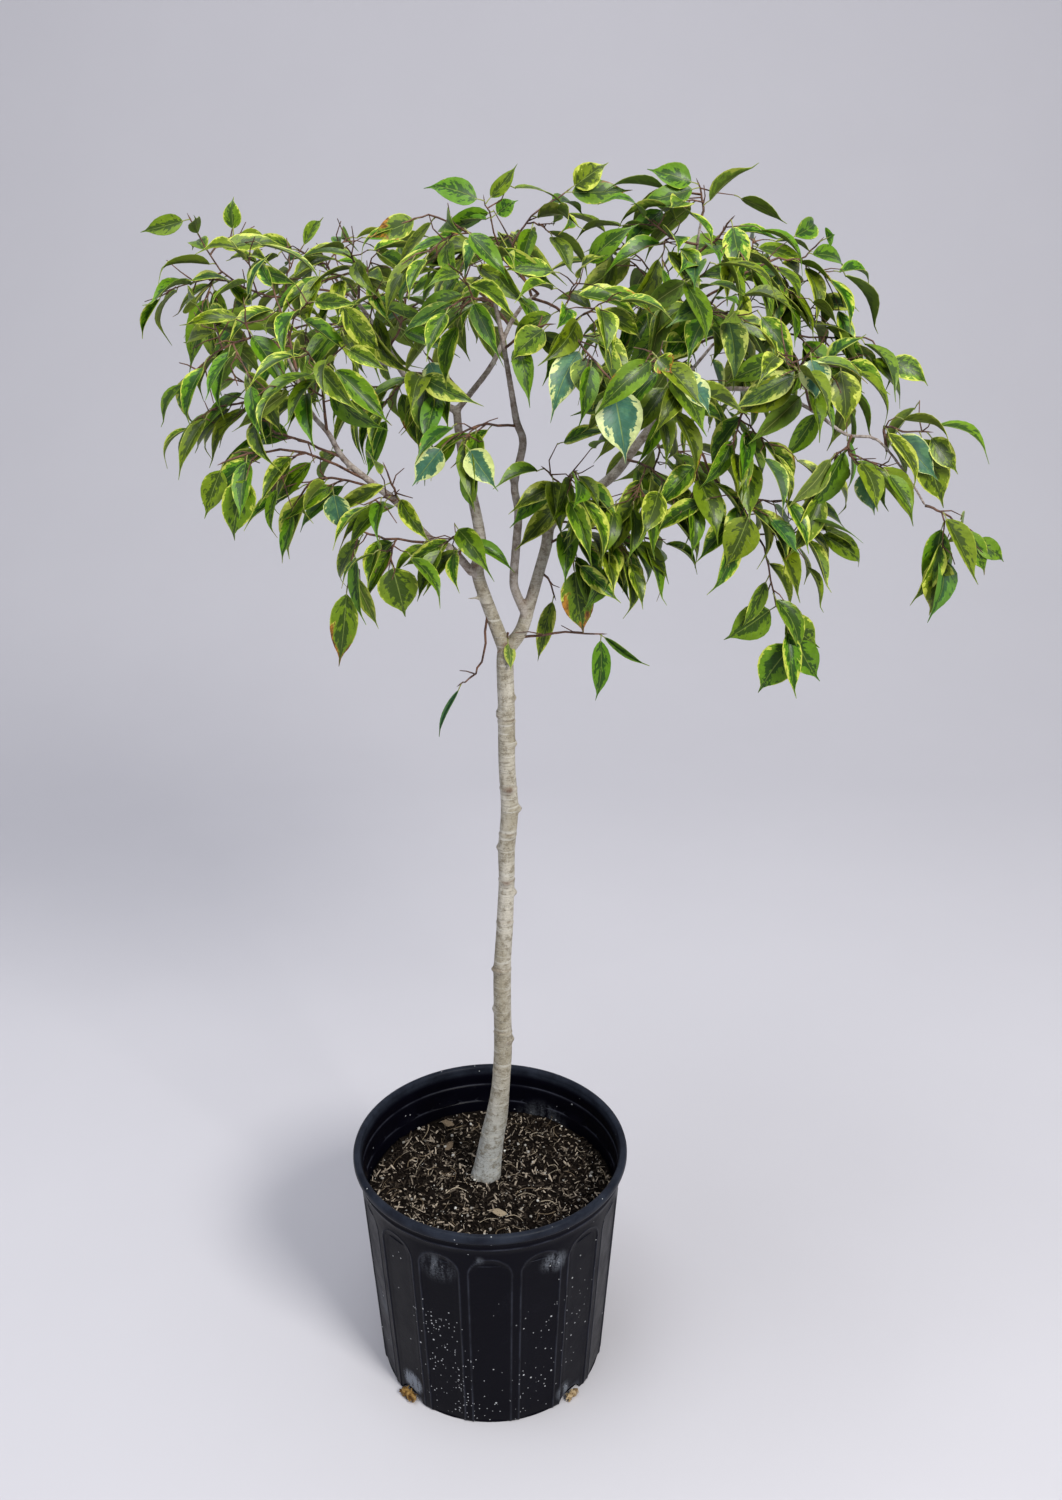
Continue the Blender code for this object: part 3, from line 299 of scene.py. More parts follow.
smear = plastic.math("MULTIPLY", plastic.steps(smear, 0.27, 0.50), smears, clamp=True)
speck = 0.0
for scale, least, widest in ((150, 0.990, 0.20), (240, 0.992, 0.24), (400, 0.995, 0.30)):
    chance = plastic.add("SeparateColor", plastic.cells(at, scale, out="Color"))
    chosen = plastic.math("GREATER_THAN", plastic.math("MULTIPLY_ADD", specked, 0.26, chance), least)
    dot = plastic.steps(plastic.cells(at, scale), widest * 0.4, widest, 1.0, 0.0)
    speck = plastic.math("MAXIMUM", plastic.math("MULTIPLY", dot, chosen), speck)
black = plastic.mix(plastic.noise(at, 9, 3), (0.0010, 0.0010, 0.0030), (0.0026, 0.0024, 0.0060))
# Painted highlight: the raised lines, ring edges and ledge are painted lighter blue-grey, as rubbed plastic and as
# glints of light
rubbed_and_highlit = plastic.math("MULTIPLY", raised, plastic.steps(haze, 0.35, 0.65, 0.15, 0.8))
colour = plastic.mix(plastic.math("MULTIPLY", rubbed_and_highlit, 0.8), black, (0.050, 0.055, 0.075))
# Painted sheen: the rim's top is painted bluish grey, partly scuffed plastic and partly a painted sheen of light
on_rim = plastic.steps(height_on_pot, 0.2395, 0.2450)
colour = plastic.mix(plastic.math("MULTIPLY", on_rim, plastic.steps(haze, 0.30, 0.70, 0.35, 1.0)), colour, (0.022, 0.027, 0.040))
dusty = plastic.math("MULTIPLY", plastic.steps(haze, 0.50, 0.80), plastic.steps(grit, 0.40, 0.72))
colour = plastic.mix(plastic.math("MULTIPLY", dusty, plastic.steps(pressed_in, 0.0, 1.0, 0.02, 0.06)), colour, (0.14, 0.15, 0.20))
colour = plastic.mix(plastic.math("MULTIPLY", smear, 0.75, clamp=True), colour, (0.30, 0.33, 0.38))
colour = plastic.mix(plastic.math("MULTIPLY", speck, 0.9), colour, (0.60, 0.62, 0.64))
rough = plastic.math("ADD", plastic.steps(haze, 0.3, 0.8, 0.30, 0.48), plastic.math("MULTIPLY", smear, 0.3))
height = plastic.math("ADD", plastic.math("MULTIPLY", grit, 0.25), plastic.math("ADD", haze, speck))
pot_paint = plastic.finish(colour, rough, height, 0.0006, 0.45)
piece("nursery_pot_look", cut_notches(pot_shape), [pot_paint], ["nursery_pot"], 50)

# The potting soil
# A mix of dark peat, shredded bark, coarse fibre and white perlite grains, poured loose into the pot and
# settled. The body is one piece, and the loose bits that show on top are three more.

SOIL_TOP = 0.1955
SOIL_RADIUS = wall_radius(0.195) - WALL - 0.0006


def soil_height(x, y):
    """The uneven top of the soil: a little higher round the trunk, with dips and crumbs."""
    spot = Vector((x, y, 0.3))
    broad = noise.noise(spot * 22) * 0.0022
    crumbs = noise.noise(spot * 150) * 0.0013 + noise.noise(spot * 420) * 0.0006
    mound = 0.0055 * math.exp(-((x + 0.004) ** 2 + (y - 0.014) ** 2) / 0.0012)
    return SOIL_TOP + broad + crumbs + mound


soil_rows = [(radius, SOIL_TOP) for radius in np.linspace(0.0, SOIL_RADIUS, 90)]
soil_rows += [(wall_radius(z) - WALL - 0.0006, z) for z in (0.188, 0.15, 0.10, 0.05, 0.013)]
soil_rows += [(wall_radius(0.0065) - WALL - 0.0006, 0.0062), (0.0, 0.0062)]
soil_shape = turned(soil_rows, 300)
for vertex in soil_shape.verts:
    if vertex.co.z > SOIL_TOP - 0.0001:
        vertex.co.z = soil_height(vertex.co.x, vertex.co.y)

peat = Paint("peat", 0.95, Specular_IOR_Level=0.05)
at = peat.place()
crumb = peat.noise(at, 260, 8, 0.7)
clump = peat.noise(at, 60, 4, 0.6)
shade = peat.mix(peat.steps(crumb, 0.35, 0.70), (0.002, 0.0015, 0.0012), (0.014, 0.010, 0.008))
shade = peat.mix(peat.steps(clump, 0.55, 0.80, 0.0, 0.3), shade, (0.050, 0.037, 0.027))
bits = peat.math("ADD", crumb, peat.math("MULTIPLY", peat.cells(at, 500), 0.6))
peat_paint = peat.finish(shade, None, bits, 0.002, 0.9)
piece("potting_soil_look", mesh_of(soil_shape, "soil"), [peat_paint], ["potting_soil"], 0)


def soil_bits(name, count, seed, blanks, place_bit, materials, keep_off=0.0145):
    """Loose bits strewn over the soil, each a copy of one of the blanks with its own random tone."""
    rng = random.Random(seed)
    shape = bmesh.new()
    tone = shape.verts.layers.float_color.new("tone")
    for number in range(count):
        away = math.sqrt(rng.random()) * (SOIL_RADIUS - 0.003)
        angle = rng.uniform(0, math.tau)
        x, y = away * math.cos(angle), away * math.sin(angle)
        chances = [rng.random() for _ in range(8)]
        if math.hypot(x + 0.004, y - 0.014) < keep_off:
            continue
        start = len(shape.verts)
        shape.from_mesh(rng.choice(blanks))
        shape.verts.ensure_lookup_table()
        fresh = shape.verts[start:]
        bmesh.ops.transform(shape, matrix=place_bit(x, y, chances), verts=fresh)
        for vertex in fresh:
            vertex[tone] = (chances[0], chances[1], chances[2], 1.0)
            over = math.hypot(vertex.co.x, vertex.co.y) / (SOIL_RADIUS - 0.0004)
            if over > 1:
                vertex.co.x /= over
                vertex.co.y /= over
    return piece(name, mesh_of(shape, name), materials, (), 35)


def sliver_blank(seed):
    """A shred of bark one unit long: a thin block, bent, twisted and thinner at its ends."""
    rng = random.Random(seed)
    shape = bmesh.new()
    bmesh.ops.create_cube(shape, size=1)
    long_edges = [edge for edge in shape.edges if abs((edge.verts[0].co - edge.verts[1].co).x) > 0.5]
    bmesh.ops.subdivide_edges(shape, edges=long_edges, cuts=2, use_grid_fill=True)
    bend, twist = rng.uniform(-0.12, 0.12), rng.uniform(-1.2, 1.2)
    for vertex in shape.verts:
        along, across, up = vertex.co
        thin = 1.15 - 1.1 * abs(along) ** 1.4 + rng.uniform(-0.2, 0.2)
        turned_by = twist * along
        side = across * math.cos(turned_by) - up * math.sin(turned_by)
        rise = across * math.sin(turned_by) + up * math.cos(turned_by)
        vertex.co = Vector((along, side * thin + bend * (1 - 4 * along * along), rise * thin))
    return mesh_of(shape, "sliver_blank")


def place_sliver(x, y, chances):
    length = 0.0024 + 0.0078 * chances[3] ** 2.4
    width = 0.0005 + 0.0012 * chances[4] ** 1.6
    tilt = Matrix.Rotation((chances[5] - 0.5) * 1.5, 4, "Y")
    turn = Matrix.Rotation(chances[6] * math.tau, 4, "Z")
    lift = soil_height(x, y) + 0.0002 + 0.0018 * chances[7]
    size = Matrix.Diagonal((length, width, width * 0.55, 1))
    return Matrix.Translation((x, y, lift)) @ turn @ tilt @ size


def strewn_paint(name, dark, middle, light, roughness=0.85):
    """A colour drawn for each loose bit, with its own grain."""
    bit = Paint(name, roughness, Specular_IOR_Level=0.12)
    tone = bit.add("Attribute", attribute_name="tone")
    red = bit.add("SeparateColor", tone)
    low_half = bit.mix(bit.steps(red, 0.25, 0.70), dark, middle)
    whole = bit.mix(bit.steps(red, 0.66, 1.0), low_half, light)
    grain = bit.noise(bit.place(), 900, 4, 0.7)
    whole = bit.mix(bit.steps(grain, 0.30, 0.75, 0.45, 0.0), whole, (0.02, 0.013, 0.008))
    return bit.finish(whole, None, grain, 0.0004, 0.6)


shred_paint = strewn_paint("shredded_bark", (0.004, 0.003, 0.0025), (0.060, 0.046, 0.034), (0.56, 0.47, 0.37))
sliver_blanks = [sliver_blank(seed) for seed in range(9)]
soil_bits("soil_shreds", 4800, 11, sliver_blanks, place_sliver, [shred_paint])


def place_fibre(x, y, chances):
    length = 0.009 + 0.014 * chances[3] ** 1.5
    tilt = Matrix.Rotation((chances[5] - 0.5) * 0.7, 4, "Y")
    turn = Matrix.Rotation(chances[6] * math.tau, 4, "Z")
    size = Matrix.Diagonal((length, length * (0.5 + chances[4]), length * 0.6, 1))
    return Matrix.Translation((x, y, soil_height(x, y) + 0.0020)) @ turn @ tilt @ size


def rods(runs, sides=6):
    """Round rods closed at both ends, one along each run of points with their radii, as one mesh."""
    curve = bpy.data.curves.new("rods", "CURVE")
    curve.dimensions = "3D"
    curve.bevel_depth = 1.0
    curve.bevel_resolution = sides // 2 - 2
    curve.use_fill_caps = True
    for points, radii in runs:
        spline = curve.splines.new("POLY")
        spline.points.add(len(points) - 1)
        for spot, point, radius in zip(spline.points, points, radii):
            spot.co = (*point[:3], 1.0)
            spot.radius = radius
    made = bpy.data.objects.new("rods", curve)
    bpy.context.scene.collection.objects.link(made)
    return applied(made)


def fibre_blank(seed):
    """A fine root or coir strand one unit long, bent like a bow."""
    rng = random.Random(seed)
    bow, lift = rng.uniform(0.05, 0.22), rng.uniform(0.0, 0.16)
    places = [t / 5 for t in range(6)]
    points = [(t - 0.5, bow * math.sin(math.pi * t + 0.4 * t), lift * math.sin(3 * t)) for t in places]
    return rods([(points, [0.022 * (1.1 - 0.6 * t) for t in places])], 4)


root_paint = strewn_paint("coir_and_roots", (0.13, 0.095, 0.06), (0.30, 0.23, 0.15), (0.62, 0.53, 0.40), 0.8)
soil_bits("soil_fibres", 140, 12, [fibre_blank(seed) for seed in range(8)], place_fibre, [root_paint])


def grain_blank(seed):
    """A perlite grain one unit across: a lumpy ball."""
    shape = bmesh.new()
    bmesh.ops.create_icosphere(shape, subdivisions=2, radius=0.5)
    for vertex in shape.verts:
        lump = noise.noise(vertex.co * 3 + Vector((seed * 7.0, 0, 0)))
        vertex.co *= 1 + 0.5 * lump
    return mesh_of(shape, "grain_blank")


def place_grain(x, y, chances):
    width = 0.0009 + 0.0026 * chances[3] ** 4
    size = Matrix.Diagonal((width, width * (0.7 + 0.5 * chances[4]), width * 0.8, 1))
    turn = Matrix.Rotation(chances[6] * math.tau, 4, "Z")
    return Matrix.Translation((x, y, soil_height(x, y) + width * 0.35 + 0.0008)) @ turn @ size


grain_paint = strewn_paint("perlite", (0.36, 0.34, 0.31), (0.58, 0.56, 0.52), (0.80, 0.79, 0.75), 0.9)
soil_bits("soil_perlite", 330, 13, [grain_blank(seed) for seed in range(4)], place_grain, [grain_paint])

# The bark chips
# Three pale flakes of pine bark, bigger than the rest of the mix, that lie on the soil.

chip_paint = strewn_paint("pale_bark", (0.15, 0.11, 0.075), (0.28, 0.21, 0.14), (0.50, 0.41, 0.29))
CHIPS = (
    (0.008, -0.040, 0.016, 0.008, -25, 0.85),
    (-0.048, 0.098, 0.013, 0.008, -40, 0.60),
    (-0.045, 0.064, 0.014, 0.007, 70, 0.50),
)
for number, (x, y, length, width, degrees, chip_tone) in enumerate(CHIPS, 1):
    shape = bmesh.new()
    bmesh.ops.create_icosphere(shape, subdivisions=4, radius=0.5)
    tone = shape.verts.layers.float_color.new("tone")
    for vertex in shape.verts:
        rough = 1 + 0.35 * noise.noise(vertex.co * 2.5 + Vector((number * 5.0, 0, 0)))
        layers = 0.18 * noise.noise(Vector((vertex.co.x * 2, vertex.co.y * 14, number)))
        vertex.co = Vector((vertex.co.x * rough, vertex.co.y * rough, vertex.co.z * 0.8 + layers))
        vertex[tone] = (chip_tone, 0.5, 0.5, 1.0)
    lift = soil_height(x, y) + 0.0022
    turn = Matrix.Rotation(math.radians(degrees), 4, "Z") @ Matrix.Rotation(0.12, 4, "X")
    size = Matrix.Diagonal((length, width, 0.0024, 1))
    bmesh.ops.transform(shape, matrix=Matrix.Translation((x, y, lift)) @ turn @ size, verts=shape.verts)
    name = f"bark_chip_{number}"
    piece(name + "_look", mesh_of(shape, name), [chip_paint], [name], 50)

# The root and fibre tufts
# Dead roots and coir that grew or washed out through the two front drain notches: a golden-brown clump on
# the left, and a torn cream flake on the right.


def tuft(name, side, length, depth, height, count, seed):
    rng = random.Random(seed)
    middle = Vector((0.1125 + depth / 2, 0.0, 0.0008 + height / 2))
    runs = []
    for number in range(count):
        start = Vector([rng.uniform(-0.5, 0.5) for _ in range(3)])
        start = Vector((start.x * depth, start.y * length, start.z * height)) * 0.75
        ahead = Vector([rng.uniform(-1, 1) for _ in range(3)])
        bow = Vector([rng.uniform(-1, 1) for _ in range(3)]) * 0.0018
        reach = rng.uniform(0.0025, 0.0065)
        points = [middle + start + ahead * reach * (t - 0.5) + bow * math.sin(3 * t) for t in (0, 0.33, 0.66, 1)]
        for point in points:
            point.z = max(point.z, 0.0008)
            point.x = min(max(point.x, 0.1095), 0.1105 + depth * 1.35)
            point.y = min(max(point.y, -length * 0.55), length * 0.55)
        runs.append((points, [rng.uniform(0.0003, 0.0008)] * 3 + [0.0002]))
    shape = bmesh.new()
    shape.from_mesh(rods(runs, 6))
    bmesh.ops.create_icosphere(shape, subdivisions=4, radius=0.5, matrix=Matrix.Translation(middle)
        @ Matrix.Diagonal((depth, length * 0.9, height * 0.85, 1)))
    tone = shape.verts.layers.float_color.new("tone")
    for vertex in shape.verts:
        lump = noise.noise(vertex.co * 330 + Vector((seed, 0, 0)))
        vertex.co += (vertex.co - middle).normalized() * lump * 0.0012
        vertex.co.z = max(vertex.co.z, 0.0006)
        vertex[tone] = (0.5 + 0.6 * lump, 0.5, 0.5, 1.0)
    turn = Matrix.Rotation(math.radians(-90) + side * NOTCH_TURN, 4, "Z")
    bmesh.ops.transform(shape, matrix=turn, verts=shape.verts)
    return mesh_of(shape, name)


golden = strewn_paint("golden_roots", (0.10, 0.045, 0.012), (0.42, 0.25, 0.075), (0.72, 0.52, 0.26))
cream = strewn_paint("torn_coir", (0.30, 0.20, 0.10), (0.60, 0.46, 0.27), (0.82, 0.72, 0.52))
left_tuft = tuft("root_tuft_left", -1, 0.024, 0.008, 0.0098, 90, 21)
piece("root_tuft_left_look", left_tuft, [golden], ["root_tuft_left"], 60)
right_tuft = tuft("root_tuft_right", 1, 0.018, 0.0055, 0.0080, 50, 22)
piece("root_tuft_right_look", right_tuft, [cream], ["root_tuft_right"], 60)

# The wood
# The trunk, its two stems and their limbs grew as one piece of smooth grey-beige wood. The foot flares to
# the left above the roots, and old leaf shoots left knots, ring scars and short dead stubs.

# Each stem or branch as points from its foot to its end, with its radius there
BRANCHES = {
    "trunk": (
        (-0.003, 0.014, 0.211, 0.0135), (0.002, 0.013, 0.250, 0.0120), (0.007, 0.012, 0.278, 0.0106),
        (0.011, 0.011, 0.317, 0.0090), (0.013, 0.010, 0.360, 0.0089), (0.013, 0.008, 0.442, 0.0083),
        (0.016, 0.006, 0.495, 0.0078), (0.018, 0.005, 0.541, 0.0075), (0.018, 0.004, 0.575, 0.0080),
        (0.021, 0.003, 0.614, 0.0079), (0.019, 0.002, 0.657, 0.0077), (0.019, 0.001, 0.707, 0.0076),
        (0.018, 0.000, 0.750, 0.0075), (0.019, 0.000, 0.767, 0.0074),
    ),
    "left_stem": (
        (0.019, 0.000, 0.764, 0.0064), (0.004, -0.005, 0.808, 0.0056), (-0.004, -0.008, 0.837, 0.0054),
        (-0.001, -0.006, 0.861, 0.0050), (-0.006, 0.000, 0.890, 0.0044),
        (-0.014, 0.008, 0.923, 0.0039), (-0.018, 0.014, 0.944, 0.0036), (-0.020, 0.018, 0.966, 0.0034),
    ),
    "left_crown": (
        (-0.020, 0.018, 0.964, 0.0032), (-0.043, 0.028, 0.972, 0.0030), (-0.057, 0.035, 0.980, 0.0027),
        (-0.077, 0.050, 1.009, 0.0024), (-0.096, 0.060, 1.037, 0.0020), (-0.116, 0.070, 1.056, 0.0016),
    ),
    "centre_crown": (
        (-0.020, 0.018, 0.964, 0.0028), (-0.008, 0.020, 0.978, 0.0026), (0.010, 0.024, 1.001, 0.0024),
        (0.023, 0.030, 1.029, 0.0021), (0.035, 0.030, 1.046, 0.0018), (0.046, 0.030, 1.053, 0.0017),
    ),
    "left_limb": (
        (-0.008, -0.010, 0.836, 0.0038), (-0.025, -0.020, 0.860, 0.0034),
        (-0.042, -0.028, 0.871, 0.0032), (-0.065, -0.040, 0.902, 0.0030),
        (-0.083, -0.050, 0.920, 0.0029), (-0.103, -0.060, 0.941, 0.0026),
        (-0.113, -0.066, 0.962, 0.0023), (-0.125, -0.070, 0.979, 0.0021),
        (-0.134, -0.075, 1.007, 0.0017), (-0.140, -0.080, 1.025, 0.0014),
    ),
    "left_back": (
        (-0.067, 0.042, 0.994, 0.0020), (-0.100, 0.090, 0.997, 0.0018), (-0.130, 0.140, 1.016, 0.0014),
    ),
    "right_stem": (
        (0.020, 0.000, 0.766, 0.0064), (0.031, -0.002, 0.782, 0.0058), (0.037, -0.003, 0.799, 0.0056),
    ),
    "middle_stem": (
        (0.036, -0.003, 0.798, 0.0042), (0.027, -0.008, 0.821, 0.0039), (0.026, -0.010, 0.834, 0.0038),
        (0.028, -0.015, 0.859, 0.0037), (0.030, -0.020, 0.890, 0.0035), (0.027, -0.024, 0.914, 0.0033),
        (0.034, -0.030, 0.947, 0.0032), (0.029, -0.030, 0.964, 0.0031), (0.025, -0.030, 0.988, 0.0026),
        (0.018, -0.030, 1.029, 0.0021), (0.011, -0.030, 1.062, 0.0018),
    ),
    "right_limb": (
        (0.037, -0.003, 0.799, 0.0052), (0.046, 0.000, 0.831, 0.0049), (0.053, 0.004, 0.856, 0.0048),
        (0.056, 0.006, 0.873, 0.0048), (0.071, 0.010, 0.885, 0.0045), (0.093, 0.014, 0.900, 0.0043),
        (0.110, 0.016, 0.914, 0.0042), (0.125, 0.018, 0.934, 0.0040), (0.142, 0.020, 0.956, 0.0039),
        (0.154, 0.020, 0.975, 0.0036),
    ),
    "right_crown": (
        (0.154, 0.020, 0.975, 0.0030), (0.151, 0.030, 1.007, 0.0028), (0.158, 0.035, 1.025, 0.0024),
        (0.170, 0.040, 1.047, 0.0021), (0.171, 0.040, 1.085, 0.0016), (0.174, 0.040, 1.111, 0.0012),
    ),
    "right_arm": (
        (0.154, 0.020, 0.975, 0.0026), (0.199, -0.010, 0.986, 0.0022), (0.232, -0.030, 0.985, 0.0020),
        (0.258, -0.045, 0.974, 0.0018), (0.281, -0.055, 0.959, 0.0016), (0.304, -0.060, 0.956, 0.0014),
        (0.329, -0.060, 0.929, 0.0013), (0.346, -0.060, 0.905, 0.0012),
    ),
    "right_back": (
        (0.152, 0.020, 0.973, 0.0024), (0.175, 0.090, 0.983, 0.0020), (0.200, 0.150, 0.997, 0.0016),
    ),
}

UP = np.array((0.0, 0.0, 1.0))


def unit(vector):
    return vector / np.linalg.norm(vector)


def smooth_route(points, steps):
    """Points along a smooth curve through the given ones, with this many steps from each to the next."""
    points = [np.array(point, float) for point in points]
    ends = [2 * points[0] - points[1]] + points + [2 * points[-1] - points[-2]]
    route = []
    for before, start, end, after in zip(ends, ends[1:], ends[2:], ends[3:]):
        for step in range(steps):
            t = step / steps
            square = 2 * before - 5 * start + 4 * end - after
            cube = 3 * start - before - 3 * end + after
            route.append(0.5 * (2 * start + (end - before) * t + square * t**2 + cube * t**3))
    return route + [points[-1]]


# Knots and scars: height, side in degrees from the front towards the right, width, height, brownness
KNOTS = (
    (0.615, 90, 0.0060, 0.0026, 0.25), (0.529, 88, 0.0055, 0.0022, 0.25), (0.366, 92, 0.0060, 0.0018, 0.20),
    (0.679, 80, 0.0050, 0.0016, 0.25), (0.722, 85, 0.0045, 0.0014, 0.15), (0.576, -90, 0.0050, 0.0014, 0.30),
    (0.446, -85, 0.0055, 0.0014, 0.15), (0.707, -85, 0.0065, 0.0022, 0.40), (0.401, -90, 0.0060, 0.0012, 0.10),
    (0.636, 4, 0.0055, 0.0016, 1.00), (0.542, 3, 0.0052, 0.0013, 0.70), (0.446, -28, 0.0050, 0.0014, 0.35),
    (0.366, 35, 0.0045, 0.0012, 0.45), (0.330, -60, 0.0050, 0.0008, 0.15), (0.480, 180, 0.0055, 0.0016, 0.40),
    (0.600, 150, 0.0050, 0.0014, 0.40), (0.690, -150, 0.0050, 0.0016, 0.30), (0.410, 140, 0.0050, 0.0012, 0.20),
)
RING_SCARS = (0.636, 0.542, 0.700, 0.446, 0.375, 0.590, 0.498)

# Dead stubs and bare spikes on the limbs: where each starts and ends, and its radius at both ends
STUBS = (
    ((-0.0010, -0.0075, 0.8130), (-0.0130, -0.0130, 0.8150), 0.0016, 0.0009),
    ((-0.0280, -0.0210, 0.8630), (-0.0640, -0.0400, 0.8640), 0.0013, 0.0006),
    ((0.0560, 0.0060, 0.8730), (0.0480, -0.0060, 0.8960), 0.0014, 0.0007),
    ((-0.0980, -0.0570, 0.9340), (-0.1090, -0.0700, 0.9300), 0.0011, 0.0005),
    ((-0.0700, -0.0430, 0.9080), (-0.0620, -0.0480, 0.9240), 0.0010, 0.0004),
    ((0.0280, -0.0230, 0.9100), (0.0160, -0.0300, 0.9240), 0.0012, 0.0005),
    ((0.1100, 0.0160, 0.9140), (0.1150, 0.0060, 0.9330), 0.0012, 0.0005),
    ((-0.0150, 0.0090, 0.9260), (-0.0060, 0.0040, 0.9420), 0.0012, 0.0006),
    ((-0.0830, 0.0530, 1.0170), (-0.0860, 0.0400, 1.0300), 0.0011, 0.0005),
    ((0.1560, 0.0340, 1.0200), (0.1440, 0.0260, 1.0280), 0.0011, 0.0005),
)

trunk_foot = ((-0.006, 0.015, 0.135, 0.0110), (-0.006, 0.015, 0.178, 0.0155))
wood_routes = {name: smooth_route(points, 4) for name, points in BRANCHES.items()}
wood_routes["trunk"] = smooth_route(trunk_foot + BRANCHES["trunk"], 4)
wood_shape = bmesh.new()
wood_shape.from_mesh(rods([([p[:3] for p in run], [p[3] for p in run]) for run in wood_routes.values()], 16))
for start, end, thick, thin in STUBS:
    middle = [(a + b) / 2 + 0.0008 for a, b in zip(start, end)]
    wood_shape.from_mesh(rods([([start, middle, end], [thick, (thick + thin) / 2, thin])], 8))
rough_wood = bpy.data.objects.new("rough_wood", mesh_of(wood_shape, "rough_wood"))
bpy.context.scene.collection.objects.link(rough_wood)
fuse = rough_wood.modifiers.new("fuse", "REMESH")
fuse.mode = "VOXEL"
fuse.voxel_size = 0.0011
wood_mesh = applied(rough_wood)

tree = kdtree.KDTree(sum(len(run) * 4 for run in wood_routes.values()))
spine = []
for run in wood_routes.values():
    for start, end in zip(run, run[1:]):
        for share in (0, 0.25, 0.5, 0.75):
            point = start + (end - start) * share
            tree.insert(point[:3], len(spine))
            spine.append(point)
tree.balance()

wood_shape = bmesh.new()
wood_shape.from_mesh(wood_mesh)
for _ in range(4):
    bmesh.ops.smooth_vert(wood_shape, verts=wood_shape.verts, factor=0.5,
        use_axis_x=True, use_axis_y=True, use_axis_z=True)
wood_shape.normal_update()
age = wood_shape.verts.layers.float_color.new("age")
for vertex in wood_shape.verts:
    _, index, _ = tree.find(vertex.co)
    axis = spine[index]
    out = Vector((vertex.co.x - axis[0], vertex.co.y - axis[1], 0))
    young = min(max((0.0072 - axis[3]) / 0.0050, 0.0), 1.0)
    scar, push = 0.0, 0.0
    if young < 0.2 and out.length > 1e-6:
        side = math.atan2(out.x, -out.y)
        for height, degrees, width, rise, brown in KNOTS:
            low = vertex.co.z - height
            if abs(low) > 0.02:
                continue
            turn = (side - math.radians(degrees) + math.pi) % math.tau - math.pi
            away = math.hypot(turn * axis[3], low * 1.25) / width
            push += rise * 1.25 * math.exp(-away * away * 2.2)
            if brown > 0.3:
                push -= rise * math.exp(-away * away * 16)
            scar += brown * math.exp(-away * away * 2.2)
        for height in RING_SCARS:
            low = vertex.co.z - height - 0.0008 * math.sin(side * 2 + height * 90)
            push += 0.00055 * math.exp(-((low / 0.0012) ** 2)) - 0.0003 * math.exp(-(((low - 0.0026) / 0.001) ** 2))
            scar += 0.35 * math.exp(-(((low - 0.0018) / 0.0009) ** 2))
        foot = min(max(0.0, (0.240 - vertex.co.z) / 0.042), 1.2)
        left = max(0.0, -out.x / out.length)
        push += foot**2 * (-0.0004 + 0.0032 * left**2)
        push += 0.0006 * foot * math.sin(side * 5 + 1.0)
    ripple = noise.noise(Vector((vertex.co.x * 60, vertex.co.y * 60, vertex.co.z * 25)))
    push += ripple * 0.05 * axis[3]
    vertex.co += vertex.normal * push
    vertex[age] = (young, min(scar, 1.0), 0.0, 1.0)

bark = Paint("grey_bark", 0.72, Specular_IOR_Level=0.35)
at = bark.place()
look = bark.add("Attribute", attribute_name="age")
young = bark.add("SeparateColor", look)
scar = bark.add("SeparateColor", look, out=1)
high = bark.add("SeparateXYZ", at, out="Z")
broad = bark.noise(bark.stretched(at, 30, 30, 17), 1.0, 4, 0.6)
rings = bark.noise(bark.stretched(at, 60, 60, 1050), 1.0, 4, 0.65)
bands = bark.noise(bark.stretched(at, 22, 22, 260), 1.0, 4, 0.6)
pores = bark.cells(bark.stretched(at, 400, 400, 1000), 1.0)
pore = bark.math("MULTIPLY", bark.steps(pores, 0.12, 0.34, 1.0, 0.0), bark.steps(bark.noise(at, 190, 2), 0.42, 0.58))
mottle = bark.noise(at, 150, 6, 0.7)
specks = bark.noise(at, 620, 4, 0.7)
pale = bark.mix(bark.steps(broad, 0.36, 0.62), (0.350, 0.315, 0.235), (0.560, 0.525, 0.445))
pale = bark.mix(bark.steps(high, 0.20, 0.34, 0.85, 0.0), pale, (0.56, 0.59, 0.60))
pale = bark.mix(bark.steps(mottle, 0.46, 0.64, 0.0, 0.75), pale, (0.190, 0.160, 0.105))
pale = bark.mix(bark.steps(rings, 0.52, 0.66, 0.0, 0.65), pale, (0.140, 0.118, 0.080))
pale = bark.mix(bark.steps(bands, 0.55, 0.66, 0.0, 0.60), pale, (0.66, 0.64, 0.57))
pale = bark.mix(bark.steps(specks, 0.55, 0.68, 0.0, 0.65), pale, (0.085, 0.068, 0.045))
pale = bark.mix(bark.math("MULTIPLY", pore, 0.75), pale, (0.74, 0.71, 0.64))
pale = bark.mix(bark.steps(high, 0.199, 0.207, 0.50, 0.0), pale, (0.10, 0.08, 0.06))
limb = bark.mix(bark.steps(mottle, 0.35, 0.66), (0.420, 0.370, 0.340), (0.170, 0.120, 0.095))
limb = bark.mix(bark.steps(rings, 0.50, 0.75, 0.0, 0.5), limb, (0.54, 0.50, 0.45))
limb = bark.mix(bark.steps(specks, 0.54, 0.70, 0.0, 0.5), limb, (0.060, 0.040, 0.028))
wood_colour = bark.mix(bark.steps(young, 0.15, 0.95), pale, limb)
for centre, reach, share in (
    ((-0.002, -0.010, 0.786), 0.013, 0.85),
    ((0.004, -0.012, 0.768), 0.009, 0.75),
    ((0.020, -0.006, 0.770), 0.008, 0.60),
    ((-0.004, -0.014, 0.845), 0.008, 0.50),
    ((0.036, -0.004, 0.815), 0.010, 0.45),
):
    torn = bark.math("MULTIPLY", bark.near(at, centre, reach), bark.steps(mottle, 0.35, 0.60, 0.4, 1.3))
    wood_colour = bark.mix(bark.math("MULTIPLY", torn, share, clamp=True), wood_colour, (0.135, 0.055, 0.028))
